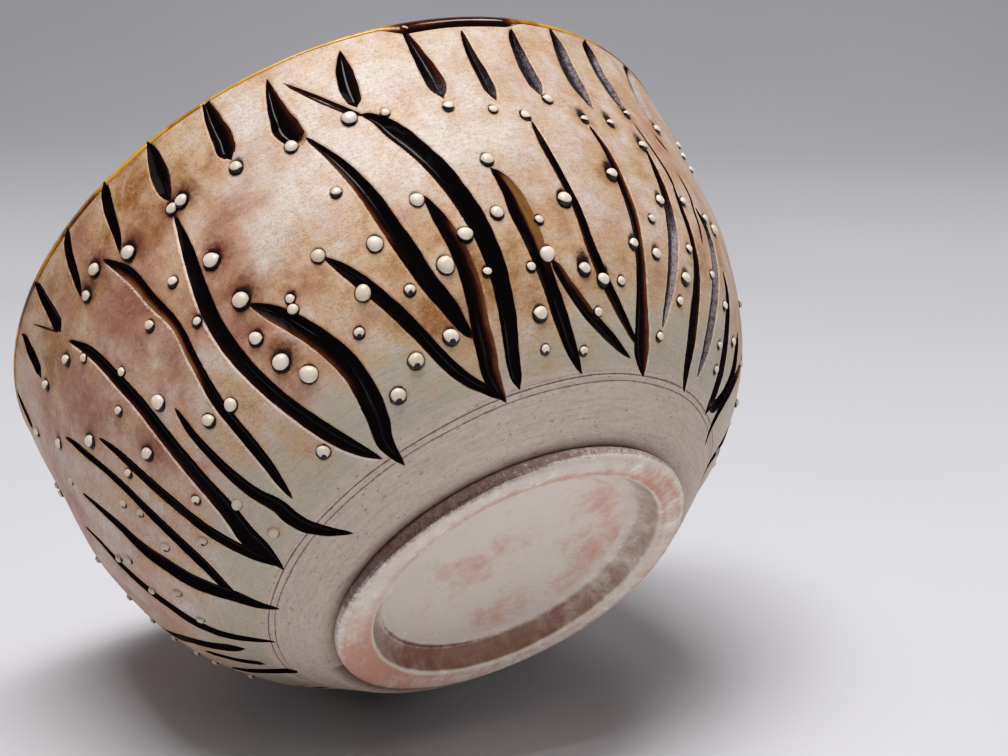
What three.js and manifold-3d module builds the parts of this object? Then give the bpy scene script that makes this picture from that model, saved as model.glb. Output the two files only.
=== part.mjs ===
// A wheel-thrown stoneware bowl standing on its turned foot ring.
// Millimetres, +Z up, origin at the centre of the foot's contact face.
// The outside is carved with leaf-shaped gouge strokes filled with dark glaze,
// with short cuts below the lip and raised dots of slip between them.
import * as THREE from 'three';
import { mergeVertices } from 'three/addons/utils/BufferGeometryUtils.js';
import Module from 'manifold-3d';

const wasm = await Module();
wasm.setup();

// ---- driving dimensions -------------------------------------------------
const LIP_HEIGHT = 93.75;        // top of the glazed lip
const GAP = 0.3;                 // clearance between pieces that touch
const WALL_SEGMENTS = 48;        // facets round the wall
const LINER_SEGMENTS = 40;
const FOOT_SEGMENTS = 48;
const FOOT_HEIGHT = 6.0;
const CONTACT_INNER_R = 35.4;    // flat that the bowl stands on
const CONTACT_OUTER_R = 42.4;
const BASE_RECESS_Z = 5.4;       // underside of the base inside the foot ring
const GLAZE_SKIN = 0.7;          // liner glaze thickness
const POOL_DROP = 0.3;           // dark glaze lies this far below the wall's surface
const CUT_BASE_DEPTH = 0.6;      // gouge depth = base + slope * half width
const CUT_DEPTH_SLOPE = 0.7;
const BACK_TURN = 172;           // the far side repeats the strokes, turned round by this angle

// Outside of the wall, [radius, height], foot to lip.
const OUTSIDE = [
  [44.4, 6.25], [47.6, 8.15], [54.2, 12.25], [64.6, 19.65], [73.6, 30.75],
  [78.9, 42.85], [82.4, 56.75], [83.45, 70.55], [84.6, 82.65], [85.0, 93.75],
];
// Inside of the wall, lip to floor.
const INSIDE = [
  [80.5, 88.8], [78.2, 70], [75.2, 53], [69.5, 38], [59.0, 24.5], [44.0, 16.6], [26.0, 13.7], [0, 13.2],
];

// Gouge strokes seen in the photograph: each entry is one pool of glaze, made of
// one stroke or of two that run together. A stroke is a list of
// [angle round the axis, height, half width].
const FRONT_STROKES = [
  [[[167.7,23.7,0.3],[170.2,18.4,1.7],[171.7,13.9,1.7],[174.9,9.9,0.3]]],
  [[[177.6,24.6,0.3],[177.7,20.7,1.3],[177.3,17.3,1.3],[176.7,14.4,0.3]]],
  [[[178.5,41.0,0.3],[177.7,33.3,1.9],[181.3,27.0,1.9],[183.3,20.8,1.9],[185.2,15.6,0.3]]],
  [[[-163.5,52.7,0.3],[-162.9,42.0,1.23],[-164.0,31.9,1.53],[-167.4,23.4,1.73],[-170.0,16.3,1.85],[-167.5,10.4,0.3]]],
  [[[-149.1,63.1,0.3],[-145.5,52.5,0.9],[-143.7,41.4,0.99],[-144.1,30.6,1.28],[-147.2,21.8,1.77],[-153.4,15.6,0.95]],[[-154.6,53.0,0.3],[-152.6,42.6,1.14],[-152.6,32.5,1.96],[-153.2,23.4,2.31],[-153.2,16.1,2.22],[-152.3,10.1,0.3]]],
  [[[-135.4,73.6,0.3],[-130.9,59.9,1.38],[-129.3,45.1,1.6],[-130.0,31.0,1.79],[-133.5,19.7,2.22],[-139.2,11.5,0.3]],[[-140.6,52.2,0.3],[-138.7,41.3,1.1],[-138.2,30.7,1.23],[-138.6,21.5,1.44],[-136.6,14.6,1.1]]],
  [[[-124.5,40.9,0.3],[-125.3,30.3,1.01],[-125.6,21.2,1.4],[-125.7,14.0,1.75],[-120.6,8.4,0.3]]],
  [[[-121.6,78.4,0.3],[-118.1,65.2,1.4],[-116.3,51.3,1.13],[-117.7,37.7,1.27],[-119.2,25.4,1.28],[-123.7,16.3,0.3]]],
  [[[-108.0,73.6,0.3],[-109.4,59.6,1.64],[-110.9,46.0,1.83],[-110.2,32.9,1.64],[-107.6,21.7,1.62],[-102.6,13.7,0.3]]],
  [[[-104.9,46.1,0.3],[-100.0,36.1,2.06],[-96.9,25.9,2.33],[-97.9,17.1,2.24],[-99.1,10.3,0.3]]],
  [[[-86.1,72.4,0.3],[-83.5,62.5,1.29],[-81.9,52.3,1.87],[-80.8,42.2,2.11],[-79.5,32.6,1.95],[-76.9,24.3,0.3]]],
  [[[-91.9,45.7,0.3],[-88.2,36.2,1.49],[-84.9,27.0,1.45],[-81.7,19.1,1.4],[-74.2,15.2,1.1]],[[-74.8,48.9,0.3],[-73.3,37.7,1.75],[-73.4,27.3,1.92],[-74.3,18.5,2.08],[-73.1,11.9,0.3]]],
  [[[-76.5,71.2,0.3],[-72.2,58.7,2.24],[-69.4,45.5,2.29],[-68.3,32.6,2.07],[-68.9,21.4,1.84],[-69.4,12.9,0.3]]],
  [[[-63.4,51.6,0.3],[-62.5,39.8,1.18],[-60.7,29.0,1.7],[-58.5,19.8,1.78],[-54.0,13.1,0.3]],[[-60.8,29.8,1.1],[-57.0,25.6,1.23],[-53.2,21.6,1.25],[-48.9,18.1,1.2],[-43.0,16.3,0.3]]],
  [[[-53.3,61.4,0.3],[-52.8,50.7,0.91],[-51.4,40.4,1.02],[-49.3,30.7,1.42],[-45.5,22.9,1.42],[-38.8,17.6,1.1]],[[-42.6,60.9,0.3],[-40.9,49.6,1.09],[-40.0,38.4,1.27],[-40.1,28.0,1.36],[-39.4,19.3,2.01],[-36.2,12.7,0.3]]],
  [[[-30.9,58.2,0.3],[-30.2,47.5,1.35],[-30.6,37.2,1.77],[-32.1,27.7,1.42],[-33.5,19.6,0.3]]],
  [[[-26.6,50.4,0.3],[-24.7,39.1,0.97],[-24.1,28.3,1.48],[-23.2,19.3,1.64],[-19.6,12.6,0.3]]],
  [[[-20.2,47.9,0.3],[-16.4,39.8,1.71],[-16.8,30.4,1.8],[-17.0,22.2,1.67],[-16.4,15.5,0.3]]],
  [[[-12.3,37.0,0.3],[-10.0,29.8,1.44],[-8.3,23.0,1.75],[-5.8,17.4,1.72],[-4.8,12.6,0.3]],[[-1.9,28.8,0.3],[0.2,24.5,2.13],[1.1,20.2,2.2],[-0.3,16.4,1.92],[-4.8,14.6,1.1]]],
];
// Short cuts below the lip, top to bottom.
const RIM_CUTS = [
  [[-160.3,91.3,0.3],[-161.6,88.4,2.0],[-161.7,84.7,2.0],[-161.2,81.1,0.3]],
  [[-146.2,90.5,0.3],[-146.0,86.3,1.73],[-146.1,82.0,1.95],[-146.9,77.9,0.3]],
  [[-136.3,92.7,0.3],[-136.0,87.5,1.41],[-135.9,82.2,1.78],[-136.1,77.0,0.3]],
  [[-124.7,92.4,0.3],[-126.7,87.7,1.27],[-127.6,82.3,1.18],[-128.6,77.0,0.3]],
  [[-115.4,93.0,0.3],[-116.6,87.3,1.48],[-117.3,81.4,1.29],[-118.6,75.8,0.3]],
  [[-106.5,93.2,0.3],[-106.8,87.6,1.89],[-107.3,82.1,2.17],[-107.5,76.5,0.3]],
  [[-96.3,92.6,0.3],[-96.5,87.1,1.82],[-96.6,81.6,1.89],[-96.8,76.1,0.3]],
  [[-87.0,90.1,0.3],[-87.6,84.5,1.38],[-87.9,78.9,1.76],[-87.4,73.3,0.3]],
  [[-75.7,89.8,0.3],[-76.6,84.7,1.28],[-77.2,79.5,1.77],[-77.5,74.2,0.3]],
  [[-65.6,91.6,0.3],[-65.3,84.5,1.43],[-65.1,77.5,1.77],[-65.0,70.4,0.3]],
  [[-56.7,88.6,0.3],[-57.3,81.7,1.08],[-57.2,74.7,1.22],[-57.2,67.8,0.3]],
  [[-47.7,89.2,0.3],[-48.7,82.5,1.45],[-49.0,75.7,1.77],[-48.8,68.8,0.3]],
  [[-39.0,91.9,0.3],[-39.6,84.7,1.76],[-40.2,77.5,2.19],[-39.4,70.4,0.3]],
  [[-30.9,92.0,0.3],[-32.1,85.3,1.87],[-32.3,78.3,2.0],[-30.9,71.7,0.3]],
  [[-17.9,92.9,0.3],[-20.5,86.3,2.1],[-22.0,79.2,2.1],[-22.3,71.6,0.3]],
];
// Slip dots: [angle, height, radius].
const SLIP_DOTS = [
  [-160.1,77.9,1.1],[-146.4,75.2,1.23],[-127.5,75.8,1.23],[-117.2,74.3,1.67],[-96.8,73.9,1.45],[-88.5,71.7,1.45],[-79.3,72.2,1.67],[-74.1,70.9,1.1],
  [-65.1,68.0,1.23],[-58.6,65.4,1.1],[-48.0,67.1,1.23],[-31.0,68.4,1.1],[-21.7,69.5,1.23],[-43.0,62.7,1.1],[-37.3,63.0,1.1],[-32.3,58.6,1.23],
  [-7.1,76.9,1.1],[-10.9,69.8,1.1],[-8.8,67.5,1.1],[-86.0,56.7,1.23],[-84.4,43.4,1.67],[-93.1,47.2,1.45],[-91.0,35.7,1.67],[-79.5,22.9,1.67],
  [-86.7,21.8,1.67],[-92.4,18.6,1.67],[-109.9,18.0,1.45],[-103.1,28.7,1.8],[-105.7,33.1,1.8],[-106.8,39.6,1.45],[-105.9,48.2,1.8],[-99.2,42.0,1.1],
  [-113.0,50.1,1.1],[-106.3,58.5,1.8],[-113.1,60.9,1.23],[-123.8,78.3,1.45],[-119.9,57.2,1.23],[-138.1,71.5,1.23],[-134.5,66.9,1.1],[-128.0,55.4,1.1],
  [-133.4,50.8,1.1],[-126.2,44.2,1.56],[-115.7,33.2,1.45],[-121.2,34.1,1.45],[-134.3,40.0,1.45],[-142.8,54.1,1.45],[-152.5,65.4,1.23],[-140.7,41.7,1.1],
  [-134.3,27.3,1.1],[-129.2,21.2,1.23],[-131.1,15.3,1.34],[-146.8,40.3,1.1],[-145.6,36.0,1.1],[-148.2,28.7,1.12],[-141.6,23.1,1.12],[-158.9,36.7,1.1],
  [-161.0,39.8,1.1],[-161.9,30.2,1.1],[-158.9,25.2,1.12],[-165.4,21.3,1.1],[-155.9,58.1,1.1],[-76.3,48.4,1.45],[-65.3,41.3,1.45],[-76.3,34.4,1.8],
  [-63.6,53.8,1.45],[-58.9,38.3,1.1],[-53.9,41.8,1.67],[-42.9,48.1,1.45],[-42.2,33.3,1.23],[-36.1,31.8,1.23],[-32.6,44.3,1.23],[-35.8,39.1,1.1],
  [-24.5,46.9,1.1],[-58.4,32.1,1.67],[-63.4,29.5,1.1],[-52.8,28.2,1.45],[-50.4,25.4,1.45],[-44.8,26.2,1.1],[-62.8,22.1,1.67],[-62.6,17.1,1.1],
  [-53.5,16.1,1.1],[-50.1,21.7,1.1],[-28.1,28.7,1.45],[-29.5,24.5,1.1],[-26.4,35.3,1.1],[-34.1,18.3,1.1],[-16.8,47.6,1.1],[-19.2,32.8,1.1],
  [-13.5,46.0,1.45],[-12.3,29.0,1.1],[-11.7,21.9,1.1],[2.7,38.8,1.1],[-4.7,25.3,1.1],[-9.9,18.3,1.1],[5.8,26.5,1.1],[-172.9,75.0,1.1],
  [-172.3,72.0,1.1],[-175.6,54.1,1.1],[179.8,45.1,1.1],[-106.1,75.0,1.45],[-108.6,75.4,1.23],[-53.9,63.1,1.12],[175.4,39.2,1.1],[174.0,34.3,1.1],
  [170.6,30.3,1.1],[167.2,27.9,1.1],[161.0,23.6,1.1],[-82.7,32.6,1.16],[-92.8,29.9,1.12],
];

// ---- curve of the outside ------------------------------------------------
const slopes = (() => {
  const n = OUTSIDE.length, h = [], d = [], m = new Array(n).fill(0);
  for (let i = 0; i < n - 1; i++) {
    h.push(OUTSIDE[i + 1][1] - OUTSIDE[i][1]);
    d.push((OUTSIDE[i + 1][0] - OUTSIDE[i][0]) / h[i]);
  }
  m[0] = d[0];
  m[n - 1] = d[n - 2];
  for (let i = 1; i < n - 1; i++) {
    const w1 = 2 * h[i] + h[i - 1], w2 = h[i] + 2 * h[i - 1];
    m[i] = d[i - 1] * d[i] > 0 ? (w1 + w2) / (w1 / d[i - 1] + w2 / d[i]) : 0;
  }
  return m;
})();
function outsideRadius(z) {
  const last = OUTSIDE.length - 1;
  const q = Math.min(Math.max(z, OUTSIDE[0][1]), OUTSIDE[last][1]);
  let i = 0;
  while (i < last - 1 && q > OUTSIDE[i + 1][1]) i++;
  const h = OUTSIDE[i + 1][1] - OUTSIDE[i][1], t = (q - OUTSIDE[i][1]) / h;
  const t2 = t * t, t3 = t2 * t;
  return (2 * t3 - 3 * t2 + 1) * OUTSIDE[i][0] + (t3 - 2 * t2 + t) * h * slopes[i]
    + (-2 * t3 + 3 * t2) * OUTSIDE[i + 1][0] + (t3 - t2) * h * slopes[i + 1];
}
function onWall(angle, z) {
  const a = THREE.MathUtils.degToRad(angle), r = outsideRadius(z);
  const dr = (outsideRadius(z + 0.05) - outsideRadius(z - 0.05)) / 0.1;
  const normal = new THREE.Vector3(Math.cos(a), Math.sin(a), -dr).normalize();
  return { point: new THREE.Vector3(r * Math.cos(a), r * Math.sin(a), z), normal };
}

// ---- solids ----------------------------------------------------------------
function solid(geometry) {
  const g = geometry.clone();
  g.deleteAttribute('normal');
  if (g.attributes.uv) g.deleteAttribute('uv');
  const m = mergeVertices(g, 1e-4);
  const index = m.index.array, pos = m.attributes.position.array;
  const tri = [];
  for (let i = 0; i < index.length; i += 3) {
    const [a, b, c] = [index[i], index[i + 1], index[i + 2]];
    if (a !== b && b !== c && a !== c) tri.push(a, b, c);
  }
  return new wasm.Manifold(new wasm.Mesh({
    numProp: 3, vertProperties: Float32Array.from(pos), triVerts: Uint32Array.from(tri),
  }));
}
function geometryOf(manifold) {
  const m = manifold.getMesh();
  const g = new THREE.BufferGeometry();
  g.setAttribute('position', new THREE.Float32BufferAttribute(Array.from(m.vertProperties), 3));
  g.setIndex(Array.from(m.triVerts));
  return g;
}
// A profile of [radius, height] turned about +Z; it closes on itself or on the axis.
function turned(profile, segments) {
  const g = new THREE.LatheGeometry(profile.map(([r, z]) => new THREE.Vector2(r, z)), segments);
  g.rotateX(Math.PI / 2);
  let volume = 0;
  const p = g.attributes.position, ix = g.index.array;
  const a = new THREE.Vector3(), b = new THREE.Vector3(), c = new THREE.Vector3();
  for (let i = 0; i < ix.length; i += 3) {
    a.fromBufferAttribute(p, ix[i]); b.fromBufferAttribute(p, ix[i + 1]); c.fromBufferAttribute(p, ix[i + 2]);
    volume += a.dot(b.cross(c));
  }
  if (volume < 0) for (let i = 0; i < ix.length; i += 3) [ix[i], ix[i + 1]] = [ix[i + 1], ix[i]];
  return g;
}
// Sections (equal counts of points, each a closed loop) skinned into one closed solid.
function skinned(sections) {
  const n = sections[0].length, pos = [], tri = [];
  sections.forEach((s) => s.forEach((p) => pos.push(p.x, p.y, p.z)));
  for (let k = 0; k + 1 < sections.length; k++) {
    for (let i = 0; i < n; i++) {
      const a = k * n + i, b = k * n + (i + 1) % n, c = a + n, d = b + n;
      tri.push(a, b, d, a, d, c);
    }
  }
  const last = (sections.length - 1) * n;
  for (let i = 1; i + 1 < n; i++) {
    tri.push(0, i + 1, i);
    tri.push(last, last + i, last + i + 1);
  }
  const g = new THREE.BufferGeometry();
  g.setAttribute('position', new THREE.Float32BufferAttribute(pos, 3));
  g.setIndex(tri);
  return g;
}

// ---- strokes -----------------------------------------------------------------
const cutDepth = (w) => CUT_BASE_DEPTH + CUT_DEPTH_SLOPE * w;
function frames(stroke) {
  const on = stroke.map(([a, z, w]) => ({ ...onWall(a, z), w }));
  on.forEach((s, i) => {
    const along = on[Math.min(i + 1, on.length - 1)].point.clone()
      .sub(on[Math.max(i - 1, 0)].point).normalize();
    s.across = new THREE.Vector3().crossVectors(s.normal, along).normalize();
  });
  return on;
}
const at = (s, t, n) => s.point.clone().addScaledVector(s.across, t).addScaledVector(s.normal, n);
// The gouge: a V as wide as the stroke at the surface.
function gouge(stroke) {
  return solid(skinned(frames(stroke).map((s) => {
    const d = cutDepth(s.w), up = 0.6, top = s.w * (1 + up / d);
    return [at(s, -top, up), at(s, 0, -d), at(s, top, up)];
  })));
}
// The run of a stroke over which it is at least the given half width.
function between(on, width) {
  const mix = (a, b, t) => ({
    point: a.point.clone().lerp(b.point, t), normal: a.normal.clone().lerp(b.normal, t),
    across: a.across.clone().lerp(b.across, t), w: a.w + (b.w - a.w) * t,
  });
  const out = [];
  on.forEach((a, i) => {
    if (a.w >= width) out.push(a);
    const b = on[i + 1];
    if (b && (a.w - width) * (b.w - width) < 0) out.push(mix(a, b, (width - a.w) / (b.w - a.w)));
  });
  return out;
}
// The glaze pool in a gouge, clear of its sides and bottom and a little below the surface.
function pool(stroke, width = 0.85, drop = POOL_DROP) {
  return solid(skinned(between(frames(stroke), width).map((s) => {
    const d = cutDepth(s.w), half = Math.max(s.w * (1 - drop / d) - GAP, 0.15);
    return [at(s, -half, -drop), at(s, 0, -drop - half * d / s.w), at(s, half, -drop)];
  })));
}

// The far side, which the photograph doesn't show, carries the same kind of strokes.
const BACK_STROKES = FRONT_STROKES.slice(3, 18).map((group, i) => {
  const stretch = [0.92, 0.88, 0.93, 0.9, 0.86, 0.92, 0.89][i % 7], slip = [0, 0.8, -0.6, 0.5][i % 4];
  return group.map((stroke) => stroke.map(([a, z, w]) => [a + BACK_TURN + slip, z > 14 ? 14 + (z - 14) * stretch : z, w]));
});
const STROKES = [...FRONT_STROKES, ...BACK_STROKES];

// Cuts below the lip: those seen, then evenly on round the rest of the rim.
const CUTS = [...RIM_CUTS];
for (let i = 0; i < 20; i++) {
  const source = RIM_CUTS[(i * 4 + 2) % RIM_CUTS.length], turn = -8.5 + i * 10.05 - source[2][0];
  const low = source[source.length - 1][1], shrink = (92 - 77 - (i % 3)) / (92 - low);
  CUTS.push(source.map(([a, z, w]) => [a + turn, 92 - (92 - z) * shrink, w]));
}
// Each cut begins under the lip glaze and the glaze runs down into it.
const LIP_CUTS = CUTS.map((cut) => [[cut[0][0], 91.0, 0.55], ...cut.filter(([, z]) => z < 88.6).map(([a, z, w], i, all) => [a, z, i < all.length - 1 ? Math.max(w, 0.85) : 0.35])]);

// ---- the bowl's wall -----------------------------------------------------------
const wallProfile = [
  [0, BASE_RECESS_Z], [33.3, BASE_RECESS_Z], [33.3, FOOT_HEIGHT + GAP], [44.4, FOOT_HEIGHT + GAP],
  ...[8.15, 12.25, 18, 24.5, 32, 42, 55, 72, 88.9].map((z) => [outsideRadius(z), z]),
  [83.7, 89.2], [83.6, 91.4], [82.6, 92.4], [81.3, 92.3], [80.7, 91.2],
  ...INSIDE,
];
let wall = solid(turned(wallProfile, WALL_SEGMENTS));
for (const group of STROKES) for (const stroke of group) wall = wall.subtract(gouge(stroke));
for (const cut of LIP_CUTS) wall = wall.subtract(gouge(cut));
// Slip dots, each a low dome fired into the wall, clear of the gouges.
const carved = [];
for (const stroke of [...STROKES.flat(), ...LIP_CUTS]) {
  for (let i = 0; i + 1 < stroke.length; i++) {
    for (let t = 0; t <= 1; t += 0.125) {
      const [a, z, w] = stroke[i].map((v, k) => v + (stroke[i + 1][k] - v) * t);
      carved.push({ point: onWall(a, z).point, w });
    }
  }
}
for (const [angle, z, r] of SLIP_DOTS) {
  const { point, normal } = onWall(angle, z);
  if (carved.some((c) => c.point.distanceTo(point) < c.w + r + 0.35)) continue;
  const dome = new THREE.CylinderGeometry(0.5 * r, r, 1.6 + 0.5 * r, 5, 1);
  dome.translate(0, 0.5 * (1.6 + 0.5 * r) - 1.2, 0);
  dome.applyQuaternion(new THREE.Quaternion().setFromUnitVectors(new THREE.Vector3(0, 1, 0), normal));
  dome.translate(point.x, point.y, point.z);
  wall = wall.add(solid(dome));
}

// ---- the foot ring ----------------------------------------------------------------
const footProfile = [
  [CONTACT_INNER_R, 0], [CONTACT_OUTER_R, 0], [44.4, 0.9], [45.4, 2.4], [45.3, 3.8], [44.3, 4.9],
  [43.6, 5.5], [43.5, FOOT_HEIGHT], [33.6, FOOT_HEIGHT], [33.7, 4.4], [34.4, 1.2], [CONTACT_INNER_R, 0],
];

// ---- glazes ---------------------------------------------------------------------------
const lipProfile = [
  [84.05, 89.5], [84.9, 89.5], [85.0, 91.7], [84.3, 93.1], [82.5, LIP_HEIGHT], [80.9, 93.25], [79.95, 92.0],
  [79.55, 90.0], [80.3, 90.0], [80.35, 91.3], [80.9, 92.35], [82.0, 92.8], [83.1, 92.55], [83.95, 91.55], [84.05, 89.5],
];
let lipGlaze = solid(turned(lipProfile, WALL_SEGMENTS));
for (const cut of LIP_CUTS) lipGlaze = lipGlaze.add(pool(cut.map(([a, z, w], i) => (i === 0 ? [a, 90.6, 0.8] : [a, z, w])), 0.6, 0.25));

const linerTop = INSIDE.map(([r, z]) => [r, z]);
linerTop[0] = [80.4, 88.8];
const linerOuter = [], linerInner = [];
linerTop.forEach(([r, z], i) => {
  const a = linerTop[Math.max(i - 1, 0)], b = linerTop[Math.min(i + 1, linerTop.length - 1)];
  const n = new THREE.Vector2(-(a[1] - b[1]), a[0] - b[0]).normalize();
  const clear = GAP + 0.12, inward = [n.x, n.y];
  if (r === 0) { inward[0] = 0; inward[1] = 1; }
  linerOuter.push([Math.max(r + inward[0] * clear, 0), z + inward[1] * clear]);
  linerInner.push([Math.max(r + inward[0] * (clear + GLAZE_SKIN), 0), z + inward[1] * (clear + GLAZE_SKIN)]);
});
const linerProfile = [...linerOuter.slice().reverse(), ...linerInner];

// ---- the assembly ------------------------------------------------------------------------
const clay = { color: 0xcdb4a2, roughness: 0.55, metalness: 0 };
const bareClay = { color: 0xc9beb6, roughness: 0.8, metalness: 0 };
const darkGlaze = { color: 0x1c0d09, roughness: 0.15, metalness: 0 };
const honeyGlaze = { color: 0x7a4a18, roughness: 0.12, metalness: 0 };
const linerGlaze = { color: 0xb98a4a, roughness: 0.15, metalness: 0 };

const bowl = new THREE.Group();
function piece(parent, name, geometry, look) {
  const mesh = new THREE.Mesh(geometry, new THREE.MeshStandardMaterial(look));
  mesh.name = name;
  parent.add(mesh);
  return mesh;
}
const body = new THREE.Group();
bowl.add(body);
piece(body, 'bowl_wall', geometryOf(wall), clay);
piece(body, 'foot_ring', geometryOf(solid(turned(footProfile, FOOT_SEGMENTS))), bareClay);

const glazes = new THREE.Group();
bowl.add(glazes);
piece(glazes, 'rim_glaze', geometryOf(lipGlaze), honeyGlaze);
piece(glazes, 'liner_glaze', geometryOf(solid(turned(linerProfile, LINER_SEGMENTS))), linerGlaze);
STROKES.forEach((group, i) => {
  let glaze = pool(group[0]);
  for (const stroke of group.slice(1)) glaze = glaze.add(pool(stroke));
  piece(glazes, `leaf_glaze_${String(i + 1).padStart(2, '0')}`, geometryOf(glaze), darkGlaze);
});

export default bowl;
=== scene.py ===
import math

import bpy
import numpy as np
from mathutils import Matrix, Vector


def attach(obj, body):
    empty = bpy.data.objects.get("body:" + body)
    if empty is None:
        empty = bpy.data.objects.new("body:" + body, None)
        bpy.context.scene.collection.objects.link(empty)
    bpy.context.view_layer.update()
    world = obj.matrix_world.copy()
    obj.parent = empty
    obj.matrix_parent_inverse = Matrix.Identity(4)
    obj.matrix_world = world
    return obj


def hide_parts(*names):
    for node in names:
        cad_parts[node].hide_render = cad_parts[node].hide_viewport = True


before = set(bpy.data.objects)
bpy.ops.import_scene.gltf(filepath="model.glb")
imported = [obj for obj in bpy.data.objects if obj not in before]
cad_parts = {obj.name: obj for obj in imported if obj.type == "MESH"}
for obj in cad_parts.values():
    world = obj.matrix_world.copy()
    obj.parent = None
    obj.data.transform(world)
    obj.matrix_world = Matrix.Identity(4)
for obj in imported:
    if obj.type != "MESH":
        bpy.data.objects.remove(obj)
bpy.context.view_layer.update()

MM = 0.001
TAU = 2.0 * math.pi
rng = np.random.default_rng(11)

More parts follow.
